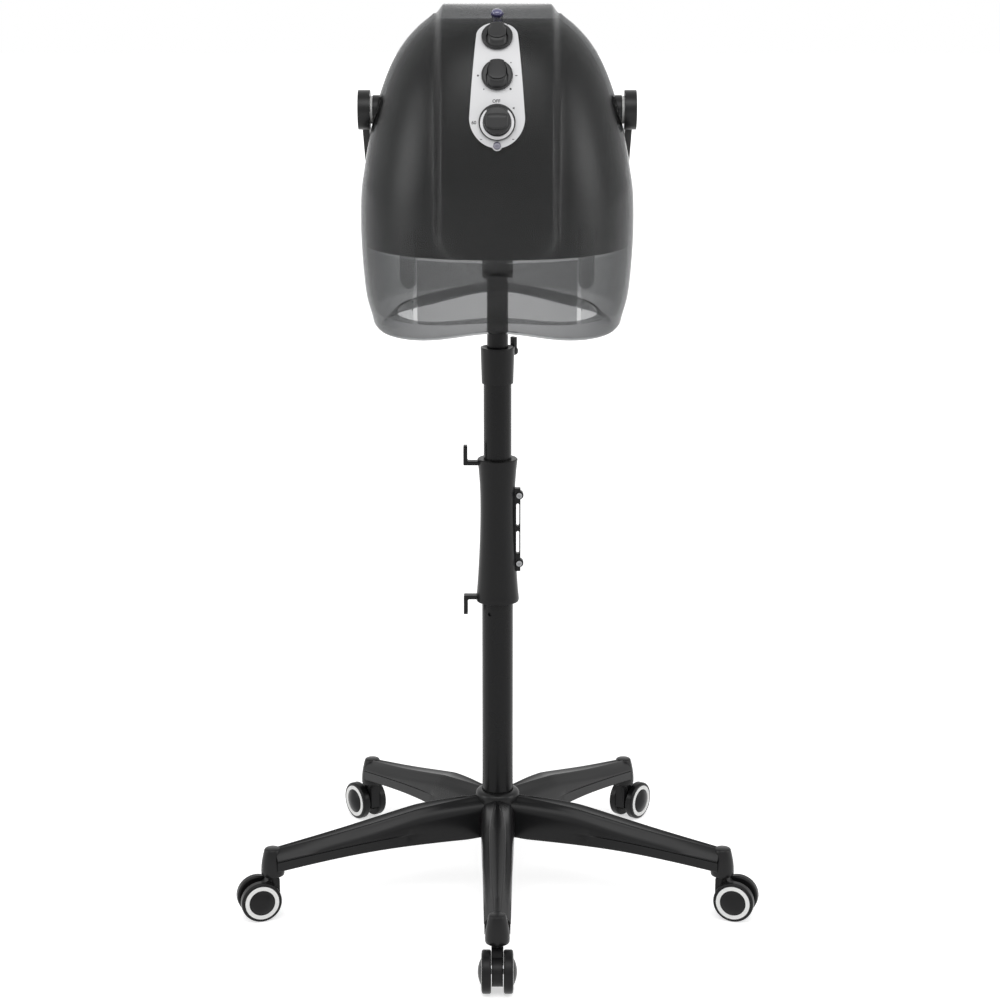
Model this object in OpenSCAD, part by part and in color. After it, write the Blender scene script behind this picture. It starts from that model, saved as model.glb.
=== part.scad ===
// Hood hair dryer on a five-leg rolling stand.
// Origin: mast axis on the floor. +Z up, -Y towards the client's side, +X to the right of it.

/* [Star base] */
// Distance from the mast axis to each caster stem
leg_reach = 290; // [270:5:320]
// Height of the hub's top above the floor
hub_top_z = 132; // [128:1:145]
// Radius of the hub
hub_r = 28; // [26:1:32]
// Height of the legs' top ridge where it leaves the hub
leg_root_z = 126; // [120:1:128]
// Clearance between the wheels and the caster sockets
socket_gap = 3; // [2:0.5:6]
// Length of each caster socket
socket_len = 35; // [33:1:37]
// Width of a leg at the hub
leg_root_w = 42; // [38:1:44]
// Width of a leg at the socket
leg_tip_w = 31; // [28:1:33]
// Wall of the hollow legs
leg_wall = 4; // [3:0.5:5]

/* [Casters] */
// Wheel diameter
wheel_d = 50; // [48:1:52]
// Width of one of the twin wheels' tyres
tyre_w = 10.9; // [10:0.1:12]
// Width of the fork body between the twin wheels
fork_w = 13; // [12:0.5:13.5]
// Horizontal distance from the stem to the wheel axle
trail = 18; // [16:1:20]
// Diameter of the swivel stem
stem_d = 11; // [10:0.5:12]
// Diameter of the wheel axle
axle_d = 6; // [5:0.5:8]
// How far the wheel's domed cap stands out from its tyre
cap_dome = 4.5; // [3.5:0.5:5]
// Outer diameter of the white ring on a wheel
ring_d = 42; // [40:1:44]
// Width of the white ring
ring_w = 5; // [4:0.5:6]

/* [Mast] */
// Outer diameter of the lower tube
lower_d = 38.1; // [37:0.1:40]
// Clearance between the lower tube's bore and the middle tube
slide_gap = 0.85; // [0.5:0.05:1.5]
// Outer diameter of the upper tube
upper_d = 25.4; // [24:0.1:27]
// Wall of the lower tube
lower_wall = 1.2; // [1:0.1:1.4]
// Wall of the middle and upper tubes
tube_wall = 1.5; // [1.2:0.1:2]
// Height of the middle tube's lower end
mid_bottom_z = 300; // [270:5:320]
// Height of the upper tube's lower end
upper_bottom_z = 420; // [400:5:430]

/* [Sleeve] */
// Height of the sleeve's bottom edge
sleeve_bottom_z = 377; // [370:1:385]
// Height of the sleeve's top rim
sleeve_top_z = 557; // [550:1:565]
// Thickness of the sleeve at its flared bottom
sleeve_bottom_t = 7.45; // [6:0.05:9]
// Thickness of the sleeve at its waist
sleeve_waist_t = 1.95; // [1.7:0.05:3]
// Thickness of the sleeve at its top rim
sleeve_top_t = 5.45; // [4.5:0.05:7]
// How far the cord hooks stand out from the sleeve's top rim
hook_out = 17.1; // [14:0.1:22]
// How far the hooks' fingers rise from the sleeve's ends
hook_rise = 16; // [12:1:20]
// Thickness of one clamp ear
ear_t = 4.4; // [4:0.1:6]
// How far the clamp ears stand out from the lower tube
ear_out = 8.95; // [8:0.05:11]
// Length of each slot through the clamp ears
slot_len = 28.6; // [26:0.2:30]
// Width of each slot through the clamp ears
slot_w = 3.6; // [3:0.1:4]
// Distance between the centres of the two slots
slot_pitch = 34.7; // [34:0.1:36]

/* [Height clamp] */
// Height of the clamp collar's bottom edge
collar_bottom_z = 650; // [645:1:655]
// Height of the clamp collar
collar_h = 44; // [40:1:50]
// Wall of the clamp collar at its top
collar_top_t = 3.5; // [3:0.1:5]
// Wall of the clamp collar at its bottom
collar_bottom_t = 2.2; // [1.8:0.1:3.5]
// Length of the clamp lever from its screw
lever_len = 17; // [14:1:22]

/* [Yoke] */
// Height of the tilt axis above the floor
pivot_z = 990; // [985:1:1000]
// Clearance from the hood's back to the mast axis
mast_gap = 30; // [26:1:40]
// Clearance from the hood's side to the yoke's arms where they pass it
arm_gap = 3.2; // [3:0.1:9]
// Thickness of the yoke's bar
arm_t = 7.5; // [6:0.5:9]
// Width of the yoke's bar
arm_w = 22; // [18:1:26]
// Diameter of the round pivot eyes
eye_d = 43; // [40:1:46]
// Thickness of the pivot eyes
eye_t = 13; // [11:0.5:15]
// Diameter of the yoke's hub
yoke_hub_d = 37; // [35:1:40]
// Height of the yoke hub's bottom face
yoke_hub_z = 779; // [775:1:785]
// Length of the yoke's hub
yoke_hub_len = 51; // [50:1:56]
// Thickness of the yoke hub's cover over the upper tube
hub_cover = 6; // [3:0.5:10]
// Diameter of the pivot bolts
bolt_d = 10; // [8:0.5:12]
// Diameter of the bosses that carry the hood on the bolts
boss_d = 32; // [28:1:34]

/* [Hood] */
// Largest width of the hood
hood_w = 300; // [280:1:330]
// Depth of the hood without its raised centre band
hood_d = 310; // [290:2:340]
// Height of the hood's crown above the tilt axis, without the band
hood_up = 103.5; // [98:0.5:116]
// Depth of the hood's rim below the tilt axis
hood_down = 237.5; // [224:0.5:250]
// How far the rim arches up at the face
rim_arch = 15; // [10:0.5:20]
// Wall of the clear outer shell
shell_wall = 2.5; // [2:0.1:2.8]
// Half the width of the raised centre band, to the middle of its bevel
band_half = 62.5; // [58:0.5:63]
// Width of the band's bevel
band_bevel = 10; // [8:0.5:10]
// How far the band stands out from the hood
band_rise = 10; // [8:0.5:12]
// Depth of the band's rounded lower end below the tilt axis
band_end = 157; // [150:1:160]
// Height over which the band's lower end is rounded
band_round = 38; // [30:1:44]
// Clear distance from the outer shell to the liner
liner_gap = 2.9; // [2.9:0.1:3.4]
// Wall of the liner, the inner skirt and the face shield
liner_wall = 2; // [1.6:0.1:2.2]
// Depth of the liner's lower edge below the tilt axis
liner_edge = 145; // [140:1:150]
// Half the width of the face shield
shield_half = 88; // [80:1:90]
// Clear slit between the face shield and the inner skirt
shield_slit = 6; // [4:0.5:8]
// Width of the clips that hold the shield and the skirt
clip_w = 17.5; // [15:0.5:20]
// Length of the clips
clip_len = 64; // [56:1:70]

/* [Controls] */
// Depth of the timer knob's seat below the crown
timer_drop = 108.5; // [104:0.5:112]
// Depth of the speed knob's seat below the crown
speed_drop = 63.5; // [60:0.5:67]
// Depth of the temperature knob's seat below the crown
temperature_drop = 28.5; // [27:0.5:30]
// Diameter of the timer knob's skirt
timer_d = 38.9; // [36:0.5:40]
// Diameter of the speed and temperature knobs
knob_d = 33; // [30:0.5:34]
// Thickness of the control plate
plate_t = 1.4; // [1:0.1:2]
// Diameter of the knobs' spindles
spindle_d = 6; // [5:0.5:6.5]
// Diameter of the upper indicator lamp
upper_lamp_d = 12; // [10:0.5:14]
// Diameter of the lower indicator lamp
lower_lamp_d = 8.3; // [7:0.1:9]

/* [Air unit] */
// Clearance between the pivot nuts and the perforated diffuser
diffuser_gap = 1.2; // [0.8:0.1:5]
// Diameter of the air holes in the diffuser
air_hole_d = 9; // [6:0.5:11]
// Number of rows of air holes in the diffuser
air_rows = 3; // [2:1:4]
// Number of air holes in each row
air_holes = 16; // [12:1:20]
// Diameter of the fan motor
motor_d = 60; // [50:1:66]
// Clearance between the heater's frame and the fan wheel
fan_gap = 10; // [5:0.5:16]
// Number of fan blades
fan_blades = 12; // [8:1:16]
// Distance from the diffuser's flat edge in to the heater's frame
heater_inset = 10; // [7:0.5:14]
// Number of turns of the heater's wire
heater_turns = 4; // [2:1:5]
// Diameter of the cable gland's bore
gland_bore_d = 7.5; // [6:0.5:9]

/* [Hidden] */
LEGS = 5;
$fn = 48;

// Clearances and colours
run_gap = 0.05;
seat_gap = 0.3;
black = [0.07, 0.07, 0.075];
soft_black = [0.11, 0.11, 0.115];
smoke = [0.3, 0.3, 0.31, 0.5];
silver = [0.82, 0.82, 0.83];
white = [0.93, 0.93, 0.92];
steel = [0.6, 0.61, 0.62];

// ---------------------------------------------------------------- helpers
function clamp(v, lo, hi) = min(hi, max(lo, v));
function smooth(t) = t * t * (3 - 2 * t);
function mix(a, b, t) = a + (b - a) * t;

// Catmull-Rom point between p1 and p2
function spline(p0, p1, p2, p3, t) =
    0.5 * (2 * p1 + (p2 - p0) * t + (2 * p0 - 5 * p1 + 4 * p2 - p3) * t * t
        + (3 * p1 - p0 - 3 * p2 + p3) * t * t * t);

// A hollow tube along Z
module tube(r_out, r_in, z0, z1) {
    translate([0, 0, z0]) difference() {
        cylinder(r = r_out, h = z1 - z0);
        translate([0, 0, -1]) cylinder(r = r_in, h = z1 - z0 + 2);
    }
}

// A rod along Z
module rod(r, z0, z1) {
    translate([0, 0, z0]) cylinder(r = r, h = z1 - z0);
}

// A rod along X
module rod_x(r, x0, x1) {
    translate([x0, 0, 0]) rotate([0, 90, 0]) cylinder(r = r, h = x1 - x0);
}

// A flat slot with round ends, long side along Z, cut along Y
module slot_y(width, length, depth) {
    straight = length - width;
    rotate([90, 0, 0]) linear_extrude(depth, center = true) {
        square([width, straight], center = true);
        for (side = [-1, 1]) translate([0, side * straight / 2]) circle(d = width);
    }
}

// Closed wall between two grids of points, each of n rows. Seen from outside, rows run up and
// columns clockwise. loop joins the last column to the first, crown closes the top row.
module sheet(front, back, n, loop = false, crown = false) {
    size = len(front);
    m = size / n;
    spans = loop ? m : m - 1;
    top = size - m;
    skin = [for (i = [0:n - 2]) for (j = [0:spans - 1])
        let(a = i * m + j, b = i * m + (j + 1) % m) each [[a, b, b + m], [a, b + m, a + m]]];
    foot = [for (j = [0:spans - 1]) let(a = j, b = (j + 1) % m)
        each [[b, a, a + size], [b, a + size, b + size]]];
    half = (m - 2) / 2;
    crown_skin = [for (j = [0:half]) each (j == 0 ? [[top, top + 1, top + m - 1]]
        : j == half ? [[top + half, top + half + 1, top + half + 2]]
        : [[top + j, top + j + 1, top + m - 1 - j], [top + j, top + m - 1 - j, top + m - j]])];
    rim = crown ? concat(crown_skin, behind(crown_skin, size))
        : [for (j = [0:spans - 1]) let(d = top + j, c = top + (j + 1) % m)
            each [[d, c, c + size], [d, c + size, d + size]]];
    ends = loop ? [] : [for (i = [0:n - 2]) let(a = i * m, d = a + m, b = i * m + m - 1, c = b + m)
        each [[a, d, d + size], [a, d + size, a + size], [c, b, b + size], [c, b + size, c + size]]];
    polyhedron(concat(front, back), concat(skin, behind(skin, size), foot, rim, ends));
}
function behind(faces, size) = [for (f = faces) [f[0] + size, f[2] + size, f[1] + size]];

// ---------------------------------------------------------------- star base
hub_floor_z = 77;
tube_seat_z = 80;
socket_bottom_z = wheel_d + socket_gap;
socket_top_z = socket_bottom_z + socket_len;
socket_r = 10;
socket_flare_r = 12.5;
stem_hole_top = socket_top_z - 3;
leg_start = hub_r * 0.6;
leg_end = leg_reach - 3;
leg_root_under = 78;
leg_tip_under = socket_bottom_z + 8;
leg_stations = 9;
rib_count = 4;
rib_t = 2.5;

// Fraction of the way along a leg
function leg_t(r) = (r - leg_start) / (leg_end - leg_start);
function leg_top(r) = leg_root_z - (leg_root_z - socket_top_z + 1) * pow(leg_t(r), 1.7);
function leg_under(r) = mix(leg_root_under, leg_tip_under, leg_t(r));
function leg_half(r) = mix(leg_root_w, leg_tip_w, leg_t(r)) / 2;

// Outer and inner cross-section of a leg: half-width and height, from one foot up to the ridge
function leg_outer(w, top, under) = [
    [w, under], [w, top - 14], [w * 0.82, top - 8], [w * 0.4, top - 2], [w * 0.15, top]
];
function leg_inner(w, top, under) = [
    [w - leg_wall, under], [w - leg_wall, top - 16], [w * 0.7, top - 13],
    [w * 0.36, top - 8], [w * 0.12, top - 6]
];
function mirrored(half) = [for (i = [len(half) - 1:-1:0]) [-half[i][0], half[i][1]]];
function reversed(list) = [for (i = [len(list) - 1:-1:0]) list[i]];
function leg_grid(radii, outer) = [for (r = radii)
    let(w = leg_half(r), top = leg_top(r), under = leg_under(r),
        half = outer ? leg_outer(w, top, under) : leg_inner(w, top, under))
    for (p = concat(half, mirrored(half))) [r, -p[0], p[1]]];

module leg() {
    radii = [for (i = [0:leg_stations]) mix(leg_start, leg_end, i / leg_stations)];
    sheet(leg_grid(radii, true), leg_grid(radii, false), len(radii));
}

module leg_ribs() {
    for (i = [1:rib_count]) {
        r = mix(leg_start, leg_end, i / (rib_count + 1));
        w = leg_half(r) - 1;
        low = leg_under(r) + 2;
        translate([r, -w, low]) cube([rib_t, 2 * w, leg_top(r) - 12 - low]);
    }
}

module caster_socket() {
    rotate_extrude() polygon([
        [0, socket_bottom_z], [socket_flare_r, socket_bottom_z], [socket_flare_r, socket_bottom_z + 12],
        [socket_r + 0.5, socket_top_z - 8], [socket_r, socket_top_z - 2],
        [socket_r - 1.5, socket_top_z], [0, socket_top_z]
    ]);
}

module star_base() {
    color(black) difference() {
        union() {
            rod(hub_r, hub_floor_z, hub_top_z - 3);
            translate([0, 0, hub_top_z - 3]) cylinder(r1 = hub_r, r2 = hub_r - 4, h = 3);
            for (k = [0:LEGS - 1]) rotate(-90 + k * 360 / LEGS) {
                leg();
                leg_ribs();
                translate([leg_reach, 0, 0]) caster_socket();
            }
        }
        rod(lower_d / 2 + run_gap, tube_seat_z, max(hub_top_z, leg_root_z) + 1);
        for (k = [0:LEGS - 1]) rotate(-90 + k * 360 / LEGS) translate([leg_reach, 0, 0])
            rod(stem_d / 2 + run_gap, socket_bottom_z - 1, stem_hole_top);
    }
}

// ---------------------------------------------------------------- casters
axle_z = wheel_d / 2;
neck_r = 7;
fork_r = wheel_d / 2 - 8;
fork_top_z = socket_bottom_z - 4;
wheel_in = fork_w / 2 + 0.65;
wheel_out = wheel_in + tyre_w;
axle_half = wheel_out - 1.5;
ring_depth = 1.2;
ring_proud = 0.4;
dome_r = ring_d / 2 - ring_w;

// Puts a caster's parts at leg k: stem on Z, axle across, trailing outwards
module at_caster(k) {
    rotate(-90 + (k - 1) * 360 / LEGS) translate([leg_reach, 0, 0]) children();
}

// The axle's own frame, with its axis along Z
module at_axle() {
    translate([trail, 0, axle_z]) rotate([90, 0, 0]) children();
}

module caster_fork(k) {
    stem_floor = fork_top_z - 9;
    color(black) at_caster(k) difference() {
        union() {
            at_axle() translate([0, 0, -fork_w / 2]) cylinder(r = fork_r, h = fork_w);
            translate([0, fork_w / 2, 0]) rotate([90, 0, 0]) linear_extrude(fork_w) polygon([
                [-neck_r, axle_z - 6], [trail, axle_z - fork_r], [trail + fork_r * 0.94, axle_z],
                [trail, axle_z + fork_r], [neck_r, fork_top_z], [-neck_r, fork_top_z]
            ]);
            rod(neck_r, axle_z, socket_bottom_z - seat_gap);
        }
        rod(stem_d / 2 + run_gap, stem_floor, socket_bottom_z + 1);
        at_axle() translate([0, 0, -fork_w]) cylinder(r = axle_d / 2 + run_gap, h = 2 * fork_w);
    }
}

module caster_pins(k) {
    color(steel) at_caster(k) {
        rod(stem_d / 2, fork_top_z - 9, stem_hole_top - 1);
        at_axle() translate([0, 0, -axle_half]) cylinder(r = axle_d / 2, h = 2 * axle_half);
    }
}

// One wheel about Z, from its inner face up to its domed cap
module wheel() {
    r = wheel_d / 2;
    round_r = 2.5;
    difference() {
        rotate_extrude() {
            difference() {
                union() {
                    polygon([
                        [0, wheel_in], [r - round_r, wheel_in], [r, wheel_in + round_r],
                        [r, wheel_out - round_r], [r - round_r, wheel_out], [0, wheel_out]
                    ]);
                    for (side = [wheel_in + round_r, wheel_out - round_r])
                        translate([r - round_r, side]) circle(r = round_r);
                }
                translate([dome_r, wheel_out - ring_depth]) square([ring_w, ring_depth + 1]);
            }
            intersection() {
                translate([0, wheel_out + cap_dome - dome_sphere_r]) circle(r = dome_sphere_r);
                translate([0, wheel_out - 0.5]) square([dome_r, cap_dome + 1]);
            }
        }
        translate([0, 0, wheel_in - 1])
            cylinder(r = axle_d / 2 + run_gap, h = axle_half + seat_gap - wheel_in + 1);
    }
}
dome_sphere_r = (dome_r * dome_r + cap_dome * cap_dome) / (2 * cap_dome);

module caster_wheels(k) {
    color(soft_black) at_caster(k) at_axle() for (side = [0, 1]) mirror([0, 0, side]) wheel();
}

module caster_rings(k) {
    inset = 0.05;
    color(white) at_caster(k) at_axle() for (side = [0, 1]) mirror([0, 0, side])
        tube(ring_d / 2 - inset, dome_r + inset, wheel_out - ring_depth, wheel_out + ring_proud);
}

// ---------------------------------------------------------------- mast
lower_r = lower_d / 2;
lower_in = lower_r - lower_wall;
mid_r = lower_in - slide_gap;
mid_in = mid_r - tube_wall;
upper_r = upper_d / 2;
upper_in = upper_r - tube_wall;
upper_top_z = yoke_hub_z + yoke_hub_len - hub_cover;
sleeve_lip = 12;
lower_top_z = sleeve_top_z - sleeve_lip;
collar_top_z = collar_bottom_z + collar_h;
collar_lip = 12;
mid_top_z = collar_top_z - collar_lip;
glide_len = 25;
glide_flange = 3;
button_hole_r = 2.5;

module lower_tube() {
    color(black) difference() {
        tube(lower_r, lower_in, tube_seat_z, lower_top_z);
        translate([0, 0, sleeve_bottom_z - 13]) rotate([90, 0, -30])
            cylinder(r = button_hole_r, h = lower_d);
    }
}

module mid_tube() {
    color(black) tube(mid_r, mid_in, mid_bottom_z, mid_top_z);
}

module upper_tube() {
    color(black) tube(upper_r, upper_in, upper_bottom_z, upper_top_z);
}

// A flanged plug in the lower end of a sliding tube
module glide(tube_in, bore, z, wall) {
    color(soft_black) difference() {
        union() {
            rod(bore - run_gap, z - glide_flange, z);
            rod(tube_in - run_gap, z, z + glide_len);
        }
        rod(tube_in - wall, z - glide_flange - 1, z + glide_len + 1);
    }
}

module mid_glide() {
    wall = 2.4;
    glide(mid_in, lower_in, mid_bottom_z, wall);
}

module upper_glide() {
    wall = 2.4;
    glide(upper_in, mid_in, upper_bottom_z, wall);
}

// ---------------------------------------------------------------- sleeve, hooks and clamp bar
sleeve_h = sleeve_top_z - sleeve_bottom_z;
sleeve_bottom_r = lower_r + sleeve_bottom_t;
sleeve_waist_r = lower_r + sleeve_waist_t;
sleeve_top_r = lower_r + sleeve_top_t;
waist_at = 0.68;
sleeve_steps = 12;
sleeve_edge = 3;
hook_w = 12;
hook_arm_t = 5;
hook_reach = sleeve_top_r + hook_out;
hook_root = sleeve_top_r - 3.5;
ear_len = 104;
ear_low_z = sleeve_bottom_z + 39;
ear_high_z = ear_low_z + ear_len;
ear_reach = lower_r + ear_out;
ear_gap = 0.15;
slot_x = lower_r + 5.65;
slots_z = ear_low_z + 53.6;
screw_x = lower_r + 7.45;
screw_low_z = ear_low_z + 10;
screw_high_z = ear_high_z - 8.5;
screw_r = 2;
screw_head_r = 3.5;
lug_r = 5.2;

// Radius of the sleeve at a fraction of its height
function sleeve_r(t) = t < waist_at
    ? mix(sleeve_waist_r, sleeve_bottom_r, pow(1 - t / waist_at, 2))
    : mix(sleeve_waist_r, sleeve_top_r, pow((t - waist_at) / (1 - waist_at), 2));

module sleeve_body() {
    edge = [[sleeve_bottom_r - sleeve_edge, 0], [sleeve_bottom_r - 0.8, 0.8],
        [sleeve_bottom_r, sleeve_edge]];
    wall = [for (i = [1:sleeve_steps])
        let(t = i / sleeve_steps) [sleeve_r(t), t * sleeve_h - (i == sleeve_steps ? 1 : 0)]];
    translate([0, 0, sleeve_bottom_z]) rotate_extrude()
        polygon(concat([[0, 0]], edge, wall, [[sleeve_top_r - 1, sleeve_h], [0, sleeve_h]]));
}

// One clamp ear with its two lugs, from y0 to y1
module ear(y0, y1) {
    translate([0, y1, 0]) rotate([90, 0, 0]) linear_extrude(y1 - y0) {
        translate([ear_root_x, ear_low_z]) square([ear_reach - ear_root_x, ear_high_z - ear_low_z]);
        for (z = [screw_low_z, screw_high_z]) translate([screw_x, z]) circle(r = lug_r);
    }
}
ear_root_x = sleeve_waist_r - 1.2;

module ear_slots() {
    for (side = [-1, 1]) translate([slot_x, 0, slots_z + side * slot_pitch / 2])
        slot_y(slot_w, slot_len, 4 * ear_t);
}

module screw_holes(r) {
    for (z = [screw_low_z, screw_high_z]) translate([screw_x, 0, z]) rotate([90, 0, 0])
        cylinder(r = r, h = 6 * ear_t, center = true);
}

// The root of each hook, grown by a clearance
module hook_roots(grow) {
    root_len = sleeve_top_r + 6 - hook_root + hook_plug;
    for (z = [sleeve_bottom_z, sleeve_top_z - hook_arm_t])
        translate([-sleeve_top_r - 6, -hook_w / 2 - grow, z - grow + hook_inset(z)])
            cube([root_len + grow, hook_w + 2 * grow, hook_arm_t + 2 * grow]);
}
hook_plug = 1.2;
function hook_inset(z) = z == sleeve_bottom_z ? 3 : -3;

module mast_sleeve() {
    color(soft_black) difference() {
        union() {
            sleeve_body();
            ear(-ear_t - ear_gap, -ear_gap);
        }
        rod(lower_r + run_gap, sleeve_bottom_z - 1, lower_top_z);
        rod(mid_r + run_gap, lower_top_z - 1, sleeve_top_z + 1);
        ear_slots();
        screw_holes(screw_r + run_gap);
        hook_roots(run_gap);
        clamp_bar_space();
    }
}

// The space behind the front ear that the clamp bar takes
module clamp_bar_space() {
    translate([ear_root_x - seat_gap, -ear_gap, ear_low_z - seat_gap - 6])
        cube([20, ear_t + 2 * ear_gap + seat_gap, ear_high_z - ear_low_z + 2 * seat_gap + 12]);
}

module clamp_bar() {
    color(black) difference() {
        ear(0, ear_t);
        ear_slots();
        screw_holes(screw_r + run_gap);
    }
}

module sleeve_screws() {
    head_t = 2.4;
    color(steel) for (z = [screw_low_z, screw_high_z])
        translate([screw_x, -ear_t - ear_gap - seat_gap, z]) rotate([-90, 0, 0]) difference() {
            union() {
                translate([0, 0, -head_t]) cylinder(r = screw_head_r, h = head_t);
                cylinder(r = screw_r, h = 2 * ear_t + ear_gap + seat_gap);
            }
            for (turn = [0, 90]) rotate(turn) translate([-2.2, -0.4, -head_t - 1]) cube([4.4, 0.8, 2.2]);
        }
}

// Two L-shaped hooks for winding up the cord, one up and one down
module cord_hooks() {
    color(black) for (z = [sleeve_bottom_z, sleeve_top_z - hook_arm_t]) {
        up = z > sleeve_bottom_z;
        arm_z = z + hook_inset(z);
        finger_low = up ? arm_z : sleeve_bottom_z - hook_rise;
        finger_high = up ? sleeve_top_z + hook_rise : arm_z + hook_arm_t;
        translate([-hook_reach, -hook_w / 2, arm_z])
            cube([hook_reach - hook_root + hook_plug, hook_w, hook_arm_t]);
        translate([-hook_reach, -hook_w / 2, finger_low])
            cube([hook_arm_t, hook_w, finger_high - finger_low]);
    }
}

// ---------------------------------------------------------------- height clamp
lever_angle = 45;
lever_boss_r = 5.5;
lever_seat = 25;
lever_screw_r = 2.5;
collar_top_r = mid_r + collar_top_t;
collar_bottom_r = mid_r + collar_bottom_t;
lever_z = mid_top_z + 4;
lever_w = 7;
lever_t = 4.5;

module at_lever() {
    rotate(lever_angle) translate([0, 0, lever_z]) rotate([0, 90, 0]) children();
}

module clamp_collar() {
    mouth_r = collar_top_r - 2;
    color(soft_black) difference() {
        union() {
            translate([0, 0, collar_bottom_z])
                cylinder(r1 = collar_bottom_r, r2 = collar_top_r, h = collar_h);
            at_lever() rod(lever_boss_r, upper_r + 2, lever_seat);
        }
        rod(mid_r + run_gap, collar_bottom_z - 1, mid_top_z);
        rod(upper_r + run_gap, mid_top_z - 1, collar_top_z + 1);
        translate([0, 0, collar_top_z - 3]) cylinder(r1 = upper_r + run_gap, r2 = mouth_r, h = 3.01);
        at_lever() cylinder(r = lever_screw_r + run_gap, h = 2 * lever_seat);
    }
}

// Clamp screw with its small lever, turning about the screw
module collar_lever() {
    tip = upper_r + 2.5;
    color(black) at_lever() {
        translate([0, 0, tip]) cylinder(r = lever_screw_r, h = lever_seat + 1 - tip);
        translate([0, 0, lever_seat + seat_gap]) {
            cylinder(r = lever_boss_r, h = lever_t);
            translate([-lever_len, -lever_w / 2, 0]) cube([lever_len, lever_w, lever_t]);
        }
    }
}

// ---------------------------------------------------------------- hood outline
// Outline of the hood from the inner edge of its rolled lip, round the rim and up to the crown:
// [height as a share of hood_up or hood_down, half-width share, half-depth share, share of rim_arch]
HOOD_OUTLINE = [
    [-0.935, 0.74, 0.839, 0.8], [-0.975, 0.807, 0.906, 0.9], [-1, 0.867, 0.968, 1],
    [-0.977, 0.91, 1.003, 0.87], [-0.935, 0.93, 1.013, 0.6], [-0.821, 0.973, 1.006, 0],
    [-0.594, 1, 1, 0], [-0.392, 0.998, 0.994, 0], [-0.269, 0.973, 0.987, 0],
    [-0.126, 0.933, 0.958, 0], [0, 0.887, 0.91, 0], [0.29, 0.823, 0.845, 0],
    [0.531, 0.75, 0.768, 0], [0.725, 0.663, 0.674, 0], [0.87, 0.57, 0.574, 0],
    [0.952, 0.5, 0.426, 0], [0.99, 0.467, 0.232, 0], [1, 0.46, 0.013, 0]
];
PIVOT_ROW = 10;
plan_power = 2.2;
crown_u = len(HOOD_OUTLINE) - 1;
band_foot = band_half + band_bevel / 2;
band_top = band_half - band_bevel / 2;
crown_half = band_foot + 1.5;

// Height, half-width, half-depth and rim arch of a row, never narrower than the band it carries
function knot(i) = let(k = HOOD_OUTLINE[clamp(i, 0, crown_u)])
    [k[0] * (k[0] < 0 ? hood_down : hood_up), max(crown_half, k[1] * hood_w / 2), k[2] * hood_d / 2,
        k[3] * rim_arch];

// Places and clearances that the pieces in and around the hood share
hood_side = knot(PIVOT_ROW)[1];
hood_front = knot(PIVOT_ROW)[2] + band_rise;
hood_reach = hood_d / 2 + band_rise + mast_gap;
liner_out = -shell_wall - liner_gap;
liner_in = liner_out - liner_wall;
switch_seat = -shell_wall - 2.6;
timer_depth = 24;
timer_h = hood_up - timer_drop;
speed_h = hood_up - speed_drop;
temperature_h = hood_up - temperature_drop;

// ---------------------------------------------------------------- yoke and pivots
pivot_drop = pivot_z - (yoke_hub_z + yoke_hub_len - 7);
yoke_span = norm([hood_reach, pivot_drop]);
yoke_angle = atan2(pivot_drop, hood_reach);

// Half-width of the hood beside an arm, at a distance from the tilt axis
function side_by(s) = let(p = outline(u_at(-s * sin(yoke_angle))), y = s * cos(yoke_angle))
    p[1] * pow(max(0, 1 - pow(y / p[2], plan_power)), 1 / plan_power);
side_by_eye = outline(u_at(-eye_d / 2))[1] - 1;
arm_in = max(side_by_eye, max([for (s = [0:10:150]) side_by(s)])) + arm_gap;
arm_out = arm_in + arm_t;
bend_r = arm_in + arm_t / 2;
eye_r = eye_d / 2;
eye_in = arm_in - 1.7;
eye_out = eye_in + eye_t;
bolt_r = bolt_d / 2;
bolt_head_r = bolt_r + 4;
bolt_head_t = 4.8;
cap_r = eye_r - 4.5;
cap_t = 1.5;
washer_t = 2.5;
washer_r = 15;
washer_out = eye_in - seat_gap;
boss_out = washer_out - washer_t;
nut_t = 5;

// Places a part in the hood's own frame: tilt axis on X
module in_hood() {
    translate([0, -hood_reach, pivot_z]) children();
}

// The yoke's plane, with the tilt axis on X and +Y running down to the mast
module in_yoke() {
    in_hood() rotate([-yoke_angle, 0, 0]) children();
}

module yoke_bar() {
    straight = yoke_span - bend_r;
    linear_extrude(arm_w, center = true) {
        for (side = [-1, 1]) translate([side * bend_r - arm_t / 2, 0]) square([arm_t, straight]);
        translate([0, straight]) intersection() {
            difference() {
                circle(r = arm_out, $fn = 96);
                circle(r = arm_in, $fn = 96);
            }
            translate([-arm_out, -0.01]) square([2 * arm_out, arm_out + 1]);
        }
    }
}

module yoke() {
    hub_top = yoke_hub_z + yoke_hub_len;
    head_floor = eye_out - cap_t - bolt_head_t - seat_gap;
    color(black) difference() {
        union() {
            in_yoke() yoke_bar();
            rod(yoke_hub_d / 2, yoke_hub_z, hub_top);
            in_hood() for (side = [0, 1]) mirror([side, 0, 0]) rod_x(eye_r, eye_in, eye_out);
        }
        rod(upper_r + run_gap, yoke_hub_z - 1, upper_top_z + seat_gap);
        in_hood() for (side = [0, 1]) mirror([side, 0, 0]) {
            rod_x(bolt_r + run_gap, eye_in - 1, eye_out + 1);
            rod_x(bolt_head_r + seat_gap, head_floor, eye_out + 1);
            rod_x(cap_r + run_gap, eye_out - cap_t, eye_out + 1);
        }
    }
}

module pivot_caps() {
    color(soft_black) in_hood() for (side = [0, 1]) mirror([side, 0, 0])
        rod_x(cap_r, eye_out - cap_t, eye_out);
}

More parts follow.
